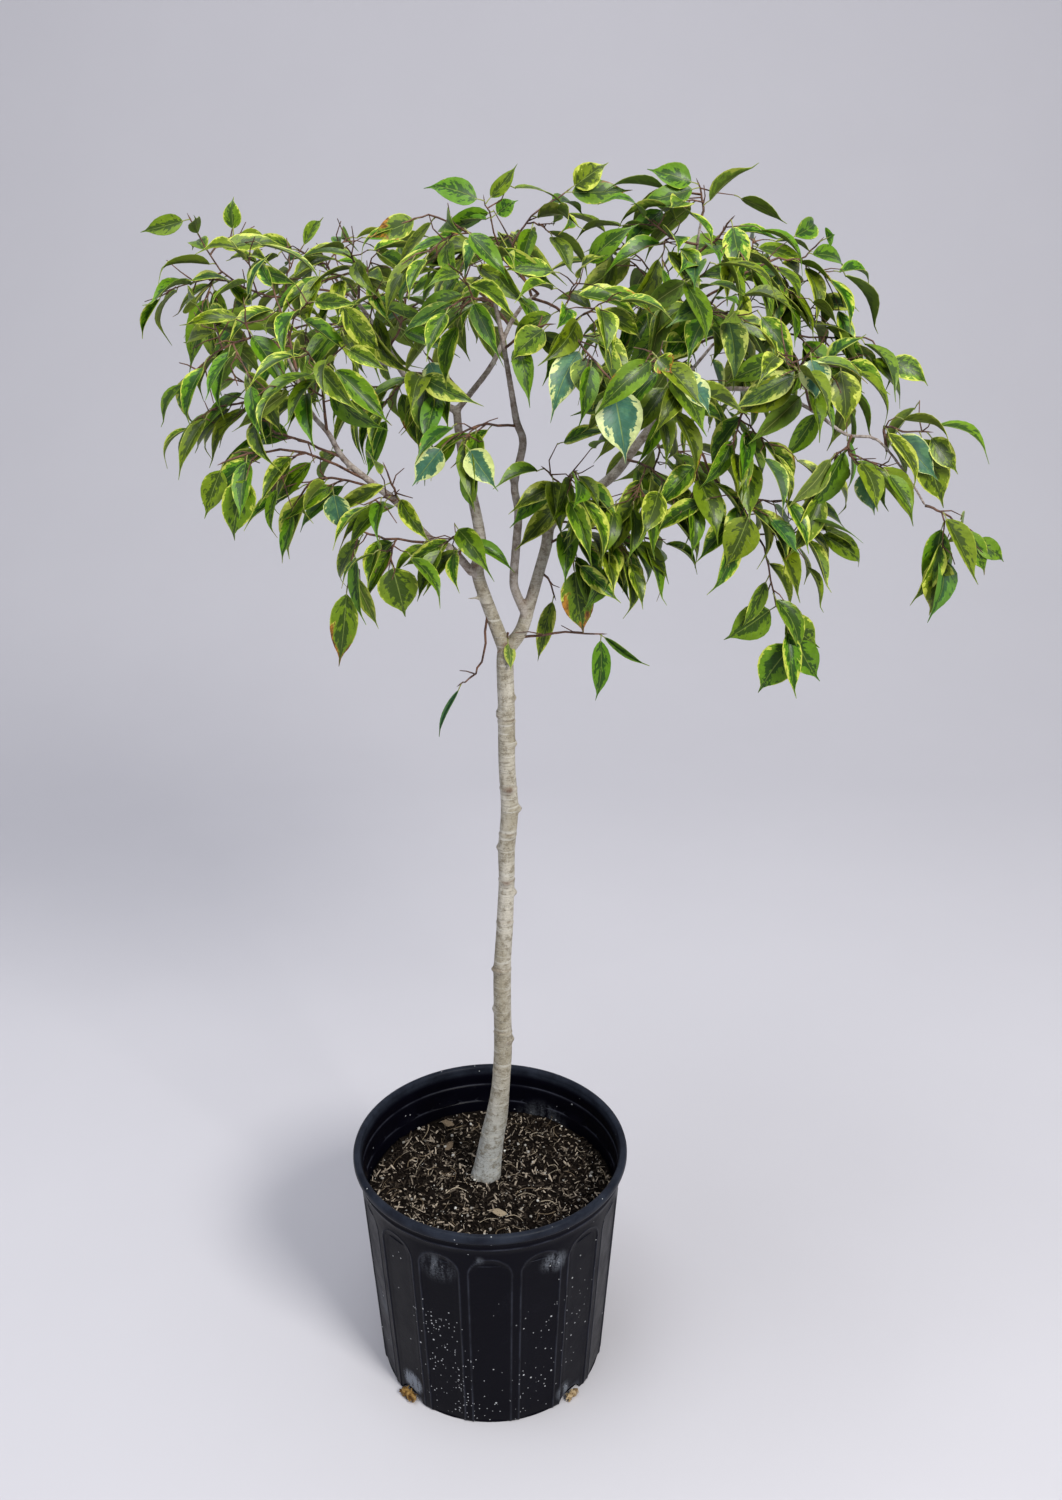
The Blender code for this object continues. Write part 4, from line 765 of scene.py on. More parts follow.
scarred = bark.math("MULTIPLY", scar, bark.steps(mottle, 0.25, 0.60, 0.45, 0.95))
wood_colour = bark.mix(scarred, wood_colour, (0.105, 0.050, 0.028))
relief = bark.math("ADD", bark.math("MULTIPLY", rings, 0.7), bark.math("MULTIPLY", pore, 0.5))
relief = bark.math("ADD", relief, bark.math("MULTIPLY", mottle, 0.8))
bark_paint = bark.finish(wood_colour, bark.steps(mottle, 0.3, 0.8, 0.62, 0.82), relief, 0.0012, 0.8)
piece("trunk_and_branches_look", mesh_of(wood_shape, "wood"), [bark_paint], ["trunk_and_branches"], 0)

# The leafy shoots
# Fifty shoots grow from the wood. Each has thin reddish-brown twigs and thin pointed leaves on short stalks,
# green in the middle with an uneven cream edge. A leaf is 0.3 mm thick, and paler and duller underneath.

# The shoots: name, branch, place along it, leaf spacing (0 for placed leaves only), the points of the
# first twig, and the side twigs, each as its place along the first twig and its tip
SHOOTS = (
    ("far_left", "left_crown", 0.92, 0.014,
     ((-0.135, 0.055, 1.055), (-0.170, 0.045, 1.050), (-0.205, 0.035, 1.070), (-0.225, 0.030, 1.110)),
     ((0.35, (-0.145, 0.070, 1.085)), (0.50, (-0.175, 0.000, 1.085)), (0.62, (-0.250, 0.020, 1.055)),
      (0.70, (-0.210, 0.000, 1.050)), (0.80, (-0.195, 0.050, 1.095)))),
    ("left_top", "left_crown", 1.00, 0.014,
     ((-0.130, 0.090, 1.070), (-0.155, 0.110, 1.080)),
     ((0.40, (-0.110, 0.110, 1.090)), (0.50, (-0.170, 0.130, 1.045)))),
    ("left_crown_front", "left_crown", 0.85, 0.014,
     ((-0.095, 0.030, 1.070), (-0.100, 0.000, 1.090)),
     ((0.30, (-0.075, 0.050, 1.090)), (0.50, (-0.120, 0.000, 1.065)))),
    ("left_crown_mid", "left_crown", 0.68, 0.014,
     ((-0.090, 0.000, 1.035), (-0.110, -0.030, 1.035)),
     ((0.40, (-0.075, 0.000, 1.065)), (0.60, (-0.125, 0.000, 1.010)))),
    ("left_crown_right", "left_crown", 0.55, 0.014,
     ((-0.065, 0.060, 1.030), (-0.060, 0.070, 1.060)),
     ((0.50, (-0.040, 0.080, 1.045)), (0.40, (-0.095, 0.100, 1.040)))),
    ("left_inner", "left_crown", 0.35, 0.016,
     ((-0.065, 0.000, 0.985), (-0.075, -0.020, 0.975)),
     ((0.50, (-0.095, 0.000, 0.985)),)),
    ("left_side", "left_limb", 0.50, 0.022,
     ((-0.130, -0.080, 0.950), (-0.160, -0.100, 0.955), (-0.185, -0.115, 0.950)),
     ((0.50, (-0.150, -0.090, 0.930)), (0.75, (-0.165, -0.125, 0.945)))),
    ("left_outer", "left_limb", 0.62, 0.017,
     ((-0.135, -0.075, 0.960), (-0.155, -0.070, 0.965), (-0.165, -0.065, 0.985), (-0.200, -0.060, 0.980)),
     ((0.60, (-0.185, -0.040, 1.000)), (0.80, (-0.215, -0.070, 0.970)))),
    ("left_limb_end", "left_limb", 1.00, 0.014,
     ((-0.155, -0.085, 1.035), (-0.180, -0.090, 1.030), (-0.215, -0.080, 1.005)),
     ((0.30, (-0.165, -0.090, 1.060)), (0.55, (-0.195, -0.050, 1.045)), (0.45, (-0.160, -0.115, 1.010)))),
    ("left_limb_top", "left_limb", 0.88, 0.014,
     ((-0.140, -0.060, 1.035), (-0.150, -0.050, 1.065)),
     ((0.50, (-0.120, -0.080, 1.060)), (0.40, (-0.180, -0.020, 1.045)))),
    ("left_front", "left_limb", 0.72, 0.014,
     ((-0.110, -0.100, 1.010), (-0.090, -0.130, 1.035)),
     ((0.50, (-0.120, -0.135, 1.035)), (0.35, (-0.135, -0.120, 1.005)))),
    ("left_hanging", "left_limb", 0.46, 0.020,
     ((-0.120, -0.075, 0.930), (-0.140, -0.085, 0.910)),
     ((0.40, (-0.110, -0.085, 0.925)),)),
    ("left_low", "left_limb", 0.16, 0.018,
     ((-0.075, -0.045, 0.875), (-0.095, -0.055, 0.880), (-0.105, -0.065, 0.840)),
     ((0.35, (-0.070, -0.060, 0.860)),)),
    ("left_low_inner", "left_limb", 0.08, 0.016,
     ((-0.015, -0.035, 0.875), (-0.030, -0.045, 0.870)),
     ()),
    ("left_limb_mid", "left_limb", 0.33, 0.017,
     ((-0.065, -0.070, 0.920), (-0.070, -0.080, 0.940)),
     ((0.50, (-0.080, -0.090, 0.915)),)),
    ("left_back_end", "left_back", 1.00, 0.014,
     ((-0.165, 0.180, 1.010), (-0.195, 0.200, 0.995)),
     ((0.30, (-0.130, 0.190, 1.040)), (0.50, (-0.165, 0.200, 0.970)))),
    ("left_back_inner", "left_back", 0.55, 0.014,
     ((-0.085, 0.135, 1.020), (-0.075, 0.155, 1.040)),
     ((0.50, (-0.090, 0.155, 1.000)),)),
    ("top_left", "centre_crown", 1.00, 0.014,
     ((0.035, 0.020, 1.065), (0.010, 0.000, 1.090), (-0.010, -0.020, 1.105), (-0.035, -0.030, 1.115),
      (-0.055, -0.035, 1.110)),
     ((0.33, (0.005, -0.005, 1.125)), (0.45, (-0.020, 0.000, 1.080)), (0.60, (-0.035, -0.060, 1.090)),
      (0.25, (0.000, -0.020, 1.070)))),
    ("top_middle", "centre_crown", 0.95, 0.018,
     ((0.035, 0.035, 1.065), (0.025, 0.035, 1.085), (0.040, 0.040, 1.110), (0.070, 0.045, 1.130)),
     ((0.40, (0.020, 0.060, 1.095)), (0.60, (0.055, 0.020, 1.100)))),
    ("centre_back", "centre_crown", 0.70, 0.015,
     ((0.005, 0.070, 1.045), (-0.015, 0.100, 1.055)),
     ((0.50, (-0.035, 0.110, 1.030)),)),
    ("middle_front", "middle_stem", 0.97, 0.016,
     ((-0.005, -0.060, 1.060), (-0.020, -0.080, 1.055)),
     ((0.50, (-0.010, -0.080, 1.080)),)),
    ("middle_leaf", "middle_stem", 0.84, 0.016,
     ((0.040, -0.045, 1.035), (0.055, -0.050, 1.040)),
     ()),
    ("reddish", "middle_stem", 0.62, 0.022,
     ((0.000, -0.050, 0.965), (-0.025, -0.070, 0.955)),
     ((0.50, (-0.010, -0.075, 0.955)),)),
    ("stem_front", "centre_crown", 0.12, 0.018,
     ((-0.025, -0.010, 0.995), (-0.040, -0.030, 1.015)),
     ((0.50, (-0.050, -0.030, 1.000)),)),
    ("middle_right", "centre_crown", 0.95, 0.014,
     ((0.065, -0.020, 1.045), (0.080, -0.080, 1.025), (0.100, -0.100, 1.005)),
     ((0.35, (0.075, -0.030, 1.070)), (0.50, (0.100, -0.070, 1.060)))),
    ("front_middle", "right_limb", 0.90, 0.014,
     ((0.145, -0.040, 0.975), (0.155, -0.100, 1.020)),
     ((0.45, (0.120, -0.080, 0.995)), (0.60, (0.125, -0.120, 1.030)))),
    ("dark_inner", "right_limb", 0.42, 0.014,
     ((0.065, -0.020, 0.910), (0.050, -0.040, 0.930)),
     ((0.50, (0.075, -0.050, 0.930)),)),
    ("limb_hanging", "right_limb", 0.36, 0.018,
     ((0.075, -0.010, 0.875), (0.075, -0.020, 0.845)),
     ()),
    ("fork_hanging", "right_limb", 0.17, 0.000,
     ((0.055, 0.010, 0.825), (0.060, 0.010, 0.810)),
     ()),
    ("limb_long", "right_limb", 0.27, 0.015,
     ((0.085, -0.010, 0.875), (0.115, -0.020, 0.870), (0.145, -0.030, 0.870)),
     ((0.50, (0.120, -0.030, 0.855)),)),
    ("limb_under", "right_limb", 0.72, 0.014,
     ((0.135, -0.020, 0.925), (0.150, -0.040, 0.915)),
     ((0.50, (0.120, -0.050, 0.905)),)),
    ("limb_back", "right_limb", 0.85, 0.014,
     ((0.150, 0.070, 0.920), (0.140, 0.090, 0.890)),
     ((0.50, (0.185, 0.080, 0.910)),)),
    ("hanging", "right_limb", 0.97, 0.016,
     ((0.170, -0.020, 0.950), (0.180, -0.040, 0.925), (0.200, -0.050, 0.910), (0.215, -0.055, 0.885),
      (0.225, -0.060, 0.865), (0.235, -0.060, 0.825), (0.255, -0.060, 0.795)),
     ((0.25, (0.165, -0.060, 0.910)), (0.45, (0.210, -0.075, 0.905)), (0.46, (0.245, -0.050, 0.905)),
      (0.60, (0.265, -0.060, 0.885)))),
    ("arm_under", "right_arm", 0.30, 0.014,
     ((0.200, -0.040, 0.965), (0.195, -0.060, 0.950)),
     ((0.50, (0.225, -0.060, 0.950)),)),
    ("arm_front", "right_arm", 0.50, 0.014,
     ((0.240, -0.070, 1.010), (0.245, -0.080, 1.025)),
     ((0.50, (0.270, -0.070, 1.015)), (0.40, (0.220, -0.090, 1.025)))),
    ("arm_low", "right_arm", 0.65, 0.014,
     ((0.280, -0.070, 0.950), (0.290, -0.080, 0.940)),
     ((0.40, (0.265, -0.060, 0.935)), (0.60, (0.305, -0.090, 0.940)))),
    ("arm_outer", "right_arm", 0.78, 0.020,
     ((0.310, -0.055, 0.965), (0.325, -0.050, 0.960), (0.345, -0.050, 0.960)),
     ()),
    ("arm_end", "right_arm", 1.00, 0.018,
     ((0.360, -0.060, 0.900), (0.385, -0.060, 0.880)),
     ((0.30, (0.360, -0.070, 0.870)),)),
    ("far_right", "right_crown", 0.20, 0.014,
     ((0.195, 0.050, 1.020), (0.235, 0.060, 1.020), (0.270, 0.065, 1.015), (0.315, 0.060, 1.015),
      (0.330, 0.055, 1.000)),
     ((0.30, (0.230, 0.090, 1.050)), (0.40, (0.250, 0.090, 0.985)), (0.60, (0.275, 0.040, 0.995)),
      (0.70, (0.305, 0.060, 0.965)), (0.55, (0.275, 0.080, 1.040)))),
    ("upper_right", "right_crown", 0.55, 0.014,
     ((0.195, 0.060, 1.055), (0.235, 0.075, 1.075), (0.260, 0.080, 1.075), (0.275, 0.075, 1.090)),
     ((0.40, (0.225, 0.100, 1.090)), (0.60, (0.250, 0.050, 1.050)), (0.80, (0.280, 0.070, 1.065)))),
    ("right_top", "right_crown", 1.00, 0.014,
     ((0.175, 0.040, 1.120), (0.170, 0.040, 1.135)),
     ((0.40, (0.150, 0.030, 1.120)),)),
    ("right_top_left", "right_crown", 0.85, 0.014,
     ((0.150, 0.030, 1.095), (0.130, 0.020, 1.110)),
     ((0.50, (0.140, -0.010, 1.080)),)),
    ("right_top_right", "right_crown", 0.80, 0.014,
     ((0.185, 0.030, 1.095), (0.195, 0.020, 1.110)),
     ((0.50, (0.205, 0.000, 1.080)),)),
    ("right_upper_left", "right_crown", 0.60, 0.014,
     ((0.140, 0.060, 1.060), (0.120, 0.070, 1.075)),
     ((0.50, (0.105, 0.080, 1.095)), (0.60, (0.130, 0.060, 1.035)))),
    ("right_front", "right_crown", 0.45, 0.014,
     ((0.170, -0.020, 1.045), (0.175, -0.060, 1.060)),
     ((0.50, (0.155, -0.050, 1.080)), (0.50, (0.195, -0.050, 1.045)))),
    ("right_inner", "right_crown", 0.30, 0.014,
     ((0.130, 0.060, 1.020), (0.105, 0.100, 1.025)),
     ((0.50, (0.145, 0.120, 1.040)),)),
    ("right_back_end", "right_back", 1.00, 0.014,
     ((0.230, 0.200, 1.005), (0.255, 0.220, 0.990)),
     ((0.40, (0.200, 0.220, 1.030)), (0.50, (0.235, 0.200, 0.965)))),
    ("right_back_inner", "right_back", 0.60, 0.014,
     ((0.160, 0.150, 0.985), (0.140, 0.170, 0.970)),
     ((0.50, (0.210, 0.150, 0.940)),)),
    ("low_right", "right_stem", 0.35, 0.000,
     ((0.070, -0.010, 0.785), (0.100, -0.015, 0.785)),
     ()),
    ("low_left", "left_stem", 0.22, 0.000,
     ((0.000, -0.010, 0.765), (-0.010, -0.010, 0.745), (-0.020, -0.015, 0.740)),
     ()),
)

# Leaves that stand out: shoot, twig, place along it, the place of the tip, and the width
SEEN_LEAVES = (
    ("middle_right", 0, 1.00, (0.110, -0.115, 0.950), 0.036),
    ("middle_right", 0, 0.72, (0.055, -0.100, 0.980), 0.023),
    ("middle_right", 0, 0.78, (0.080, -0.100, 0.990), 0.024),
    ("front_middle", 0, 1.00, (0.150, -0.115, 1.000), 0.019),
    ("front_middle", 0, 0.90, (0.170, -0.110, 0.985), 0.019),
    ("front_middle", 2, 1.00, (0.140, -0.120, 1.015), 0.018),
    ("stem_front", 0, 1.00, (-0.025, -0.045, 0.980), 0.021),
    ("reddish", 0, 1.00, (-0.050, -0.080, 0.925), 0.023),
    ("reddish", 1, 1.00, (0.015, -0.090, 0.925), 0.024),
    ("arm_front", 0, 1.00, (0.250, -0.090, 0.990), 0.025),
    ("arm_front", 1, 1.00, (0.275, -0.080, 0.970), 0.024),
    ("arm_low", 0, 1.00, (0.300, -0.090, 0.905), 0.023),
    ("arm_outer", 0, 0.55, (0.355, -0.060, 0.925), 0.023),
    ("arm_outer", 0, 1.00, (0.370, -0.060, 0.930), 0.018),
    ("arm_outer", 0, 0.90, (0.365, -0.050, 0.900), 0.030),
    ("arm_end", 1, 1.00, (0.355, -0.075, 0.820), 0.027),
    ("arm_end", 0, 1.00, (0.415, -0.060, 0.860), 0.017),
    ("arm_end", 0, 0.70, (0.400, -0.065, 0.850), 0.019),
    ("far_right", 0, 1.00, (0.370, 0.050, 0.980), 0.021),
    ("right_top", 0, 1.00, (0.130, 0.040, 1.145), 0.021),
    ("right_top", 0, 0.90, (0.120, 0.030, 1.120), 0.019),
    ("right_top_right", 0, 1.00, (0.205, 0.000, 1.065), 0.022),
    ("top_middle", 0, 1.00, (0.100, 0.045, 1.150), 0.021),
    ("top_middle", 0, 0.97, (0.120, 0.050, 1.130), 0.021),
    ("top_left", 1, 1.00, (-0.040, -0.005, 1.135), 0.021),
    ("top_left", 1, 0.95, (0.030, 0.000, 1.150), 0.012),
    ("top_left", 1, 0.70, (0.030, 0.000, 1.125), 0.015),
    ("top_left", 0, 0.90, (-0.080, -0.040, 1.100), 0.018),
    ("middle_leaf", 0, 1.00, (0.025, -0.060, 1.015), 0.022),
    ("left_low", 1, 1.00, (-0.060, -0.065, 0.815), 0.032),
    ("left_low", 0, 1.00, (-0.115, -0.070, 0.775), 0.023),
    ("left_hanging", 1, 1.00, (-0.105, -0.085, 0.890), 0.021),
    ("limb_hanging", 0, 1.00, (0.085, -0.025, 0.785), 0.030),
    ("hanging", 2, 1.00, (0.190, -0.080, 0.860), 0.029),
    ("hanging", 0, 0.86, (0.195, -0.060, 0.795), 0.029),
    ("hanging", 0, 1.00, (0.225, -0.065, 0.750), 0.031),
    ("hanging", 0, 0.98, (0.275, -0.060, 0.760), 0.023),
    ("hanging", 0, 0.90, (0.275, -0.050, 0.785), 0.026),
    ("low_right", 0, 1.00, (0.095, -0.020, 0.725), 0.017),
    ("low_right", 0, 0.97, (0.140, -0.010, 0.755), 0.012),
    ("low_left", 0, 1.00, (-0.040, -0.015, 0.690), 0.009),
    ("left_side", 0, 1.00, (-0.200, -0.120, 0.910), 0.019),
    ("left_side", 2, 1.00, (-0.180, -0.130, 0.895), 0.025),
    ("far_left", 0, 1.00, (-0.265, 0.030, 1.100), 0.016),
    ("far_left", 5, 1.00, (-0.195, 0.055, 1.125), 0.014),
    ("far_left", 5, 0.90, (-0.165, 0.050, 1.090), 0.017),
    ("far_left", 3, 1.00, (-0.270, 0.020, 1.020), 0.014),
    ("upper_right", 0, 1.00, (0.285, 0.070, 1.095), 0.015),
    ("fork_hanging", 0, 1.00, (0.045, 0.005, 0.750), 0.014),
)

# How each shoot is laid out, the same as in the solids
TWIG_RADIUS = 0.0011
BARE_SHARE_SIDE = 0.3
BARE_SHARE_FIRST = 0.35
LEAFY_LENGTH = 0.075
LEAF_LENGTHS = (0.040, 0.054)
LEAF_WIDTH_SHARES = (0.40, 0.50)
LEAF_STALK = 0.006
END_LEAF_SHARE = 0.82
LEAF_THICKNESS = 0.0008
LEAF_WIDEST = 0.5
OUTER_SHARE = 0.7
SAME_PLACE = 0.008
CLEARANCE = 0.0006
TRIES = 14
CROWDED_TRIES = 4
SEED = 7
CROWN_MIDDLE = np.array((0.030, 0.0, 0.930))


def route_length(route):
    return sum(np.linalg.norm(end[:3] - start[:3]) for start, end in zip(route, route[1:]))


def place_on(route, fraction):
    """The point at a fraction of a route's length, and the route's direction there."""
    left = fraction * route_length(route)
    for start, end in zip(route, route[1:]):
        span = np.linalg.norm(end[:3] - start[:3])
        if left <= span or end is route[-1]:
            break
        left -= span
    return start + (end - start) * min(left / span, 1.0), unit((end - start)[:3])


def beam(start, end, width):
    """A square beam: its corners, and the directions of its faces and edges."""
    along = unit(end - start)
    across = unit(np.cross(along, (0.3, 1.0, 0.2)))
    through = np.cross(along, across)
    corners = [
        point + (across * i + through * j) * width / 2
        for point in (start, end)
        for i in (-1, 1)
        for j in (-1, 1)
    ]
    directions = np.array((along, across, through))
    return np.array(corners), directions, directions


def blade(base, along, facing, length, width):
    """A leaf as a thin kite: its corners, and the directions of its faces and edges."""
    across = np.cross(along, facing)
    middle = base + along * length * LEAF_WIDEST
    half = across * width / 2
    outline = (base, middle + half, base + along * length, middle - half)
    corners = [point + facing * side * LEAF_THICKNESS / 2 for point in outline for side in (-1, 1)]
    edges = [unit(end - start) for start, end in zip(outline, outline[1:] + outline[:1])]
    faces = np.array([facing] + [np.cross(edge, facing) for edge in edges])
    return np.array(corners), faces, np.array(edges + [facing])


def gap(one, other):
    """The widest empty slab between two convex solids, or less than nothing where they meet."""
    crossed = np.cross(one[2][:, None], other[2][None]).reshape(-1, 3)
    lengths = np.linalg.norm(crossed, axis=1)
    crossed = crossed[lengths > 1e-6] / lengths[lengths > 1e-6, None]
    directions = np.concatenate((one[1], other[1], crossed))
    a = one[0] @ directions.T
    b = other[0] @ directions.T
    return max((b.min(0) - a.max(0)).max(), (a.min(0) - b.max(0)).max())


class Space:
    """The solids that stand so far, which a later leaf keeps clear of."""

    def __init__(self):
        self.solids = []
        self.lows = []
        self.highs = []
        self.owners = []

    def add(self, solid, owner):
        self.solids.append(solid)
        self.lows.append(solid[0].min(0))
        self.highs.append(solid[0].max(0))
        self.owners.append(owner)

    def is_clear(self, solid, owner):
        low = solid[0].min(0) - CLEARANCE
        high = solid[0].max(0) + CLEARANCE
        near = np.all((np.array(self.lows) < high) & (np.array(self.highs) > low), axis=1)
        return all(
            self.owners[i] == owner or gap(solid, self.solids[i]) >= CLEARANCE
            for i in np.nonzero(near)[0]
        )


def shoot_twigs(branch, place, route, sides):
    """A shoot's twigs. The first starts inside its branch, and each side twig droops from it."""
    start, _ = place_on(branch, place)
    main = smooth_route([start[:3], *route], 2)
    twigs = [main]
    for fraction, tip in sides:
        tip = np.array(tip)
        root, along = place_on(main, fraction)
        run = tip - root
        span = np.linalg.norm(run)
        rise = 0.3 if run[2] < 0 else 0.65
        bend = root + run * (0.5, 0.5, rise) + UP * 0.06 * span + along * 0.1 * span
        steps = np.linspace(0, 1, 4)
        twigs.append([root * (1 - t) ** 2 + 2 * bend * t * (1 - t) + tip * t**2 for t in steps])
    return twigs


def seen_leaf(twig, place, tip, width):
    """A leaf whose tip is given, facing forward."""
    root, along = place_on(twig, place)
    base = root - along * TWIG_RADIUS
    pointing = unit(np.array(tip) - base)
    wish = np.array((0.0, -1.0, 0.45))
    facing = unit(wish - pointing * wish.dot(pointing))
    return base, pointing, facing, np.linalg.norm(np.array(tip) - base), width


def drawn_leaf(rng, twig, place, number, last):
    """A leaf by chance: alternate sides, drooping low in the crown and spreading at its top."""
    root, along = place_on(twig, place)
    turn = math.pi * number + rng.uniform(-0.8, 0.8)
    level = unit(np.cross(along, UP)) if abs(along[2]) < 0.95 else np.array((1.0, 0.0, 0.0))
    side = level * math.cos(turn) + np.cross(level, along) * math.sin(turn) * 0.6
    height = min(max((root[2] - 1.0) / 0.12, 0), 1)
    droop = rng.uniform(0.5, 1.15) * (1 - height) + rng.uniform(0.05, 0.8) * height
    pointing = along * rng.uniform(0.3, 0.75) + side * rng.uniform(0.4, 0.85) - UP * droop
    if last:
        pointing = along + side * 0.25 - UP * droop * 0.8
    pointing = unit(pointing)
    outward = unit((root - CROWN_MIDDLE) * (1, 1, 0))
    wish = outward * rng.uniform(0.1, 0.9) + UP * rng.uniform(0.2, 1.1)
    wish = wish + side * rng.uniform(-0.5, 0.5) + np.array((0.0, -0.35, 0.0))
    facing = unit(wish - pointing * wish.dot(pointing))
    length = rng.uniform(*LEAF_LENGTHS) * (END_LEAF_SHARE if last else 1)
    width = length * rng.uniform(*LEAF_WIDTH_SHARES)
    return root - along * TWIG_RADIUS, pointing, facing, length + LEAF_STALK, width


def outer_blade(leaf):
    base, pointing, facing, length, width = leaf
    start = base + pointing * length * (1 - OUTER_SHARE)
    return blade(start, pointing, facing, length * OUTER_SHARE, width)


def leaves_of(rng, space, name, twigs, spacing):
    """The leaves of one shoot: those listed, then the rest, each clear of every other shoot."""
    leaves = []
    taken = []
    for shoot, twig, place, tip, width in SEEN_LEAVES:
        if shoot == name:
            leaf = seen_leaf(twigs[twig], place, tip, width)
            if space.is_clear(blade(*leaf), name):
                leaves.append((leaf, (twig, place)))
                taken.append((twig, place))
                space.add(blade(*leaf), name)
    for index, twig in enumerate(twigs if spacing else ()):
        length = route_length(twig)
        bare = BARE_SHARE_SIDE if index else max(BARE_SHARE_FIRST, 1 - LEAFY_LENGTH / length)
        spots = int((1 - bare) * length / spacing) + 1
        for number in range(spots + 1):
            place = bare + (1 - bare) * number / spots
            if any(other == index and abs(place - there) * length < SAME_PLACE for other, there in taken):
                continue
            for attempt in range(TRIES):
                leaf = drawn_leaf(rng, twig, place, number, number == spots)
                if not space.is_clear(blade(*leaf), name):
                    continue
                outer = outer_blade(leaf)
                crowded = any(gap(outer, outer_blade(own)) < 0 for own, _ in leaves)
                if attempt < TRIES - CROWDED_TRIES and crowded:
                    continue
                leaves.append((leaf, ()))
                space.add(blade(*leaf), name)
                break
    return leaves


def grow():
    """Every shoot as its name, its twigs and its leaves."""
    branches = {name: [np.array(point) for point in points] for name, points in BRANCHES.items()}
    space = Space()
    for points in branches.values():
        for start, end in zip(points, points[1:]):
            space.add(beam(start[:3], end[:3], 2 * max(start[3], end[3])), "wood")
    shoots = []
    for name, branch, place, spacing, route, sides in SHOOTS:
        twigs = shoot_twigs(branches[branch], place, route, sides)
        shoots.append((name, spacing, twigs))
        for twig in twigs:
            for start, end in zip(twig, twig[1:]):
                space.add(beam(start, end, 2 * TWIG_RADIUS), name)
    rng = random.Random(SEED)
    return [(name, twigs, leaves_of(rng, space, name, twigs, spacing)) for name, spacing, twigs in shoots]


# How a leaf is shaped: places along the blade, and its half width there as a share of the widest
BLADE_PLACES = (0.0, 0.045, 0.12, 0.22, 0.34, 0.47, 0.60, 0.71, 0.79, 0.87, 1.0)
BLADE_WIDTHS = (0.05, 0.38, 0.72, 0.94, 1.0, 0.94, 0.76, 0.50, 0.25, 0.085, 0.012)


def leaf_blank():
    """A flat blade one unit long and one wide, with its map: across the blade, and along it."""
    shape = bmesh.new()
    chart = shape.loops.layers.uv.new("blade")
    bmesh.ops.create_grid(shape, x_segments=4, y_segments=10, size=0.5)
    for face in shape.faces:
        for corner in face.loops:
            corner[chart].uv = (corner.vert.co.x + 0.5, corner.vert.co.y + 0.5)
    for vertex in shape.verts:
        row = round((vertex.co.y + 0.5) * 10)
        vertex.co = Vector((vertex.co.x * BLADE_WIDTHS[row], BLADE_PLACES[row], 0.0))
    return mesh_of(shape, "leaf_blank")


def bent_leaf(vertex, leaf, bends):
    """Where a point of the blank goes on a real leaf: folded along its midrib, arched and a little twisted."""
    base, pointing, facing, length, width = leaf
    fold, arch, sway, wave, phase, hook = bends
    across = np.cross(pointing, facing)
    blade_length = length - LEAF_STALK
    x, t = vertex.co.x, vertex.co.y
    out = abs(x)
    flat = math.cos(fold) * x * width
    rise = math.sin(fold) * out * width + 0.5 * wave * width * (2 * out) ** 2 * math.sin(7.5 * t + phase)
    rise += arch * blade_length * (math.sin(math.pi * min(t * 1.1, 1.0)) - 0.25 * t)
    rise -= hook * blade_length * max(t - 0.72, 0.0) ** 2 * 3
    flat += sway * blade_length * math.sin(math.pi * t) + x * width * 0.18 * wave * math.sin(11 * t + phase)
    return base + pointing * (LEAF_STALK + blade_length * t) + across * flat + facing * rise


# Leaves seen edge on, folded shut along the midrib, by shoot, twig and place
EDGE_ON_LEAVES = {("low_left", 0, 1.0), ("low_right", 0, 0.97), ("far_left", 3, 1.0)}

# Leaves whose look stands out, by shoot, twig and place: cream edge, tone, painted blue sky sheen, dryness
MARKED_LEAVES = {
    ("middle_right", 0, 1.00): (0.98, 0.45, 1.00, 0.0),
    ("middle_right", 0, 0.72): (0.95, 0.50, 0.80, 0.0),
    ("middle_right", 0, 0.78): (0.45, 0.15, 0.15, 0.5),
    ("front_middle", 0, 1.00): (1.10, 0.70, 0.70, 0.0),
    ("front_middle", 0, 0.90): (0.95, 0.60, 0.90, 0.0),
    ("front_middle", 2, 1.00): (0.70, 0.30, 0.00, 1.0),
    ("stem_front", 0, 1.00): (0.90, 0.50, 0.80, 0.0),
    ("reddish", 0, 1.00): (1.05, 0.50, 0.90, 0.0),
    ("reddish", 1, 1.00): (1.10, 0.55, 0.70, 0.0),
    ("arm_front", 0, 1.00): (1.05, 0.60, 0.90, 0.0),
    ("arm_low", 0, 1.00): (0.60, 0.55, 0.70, 0.0),
    ("arm_outer", 0, 0.55): (0.60, 0.55, 0.80, 0.0),
    ("left_hanging", 1, 1.00): (0.70, 0.55, 0.70, 0.0),
    ("right_top_right", 0, 1.00): (1.00, 0.90, 0.00, 0.3),
    ("top_left", 0, 0.90): (0.60, 0.25, 0.00, 0.9),
    ("left_low", 1, 1.00): (0.35, 0.25, 0.00, 0.0),
    ("left_low", 0, 1.00): (0.40, 0.35, 0.00, 0.8),
    ("limb_hanging", 0, 1.00): (0.55, 0.40, 0.00, 0.9),
    ("hanging", 2, 1.00): (0.15, 0.05, 0.00, 0.0),
    ("low_left", 0, 1.00): (0.10, 0.50, 0.70, 0.0),
    ("fork_bud", 0, 1.00): (1.10, 0.90, 0.10, 0.0),
    ("low_right", 0, 0.97): (0.30, 0.60, 0.20, 0.0),
}


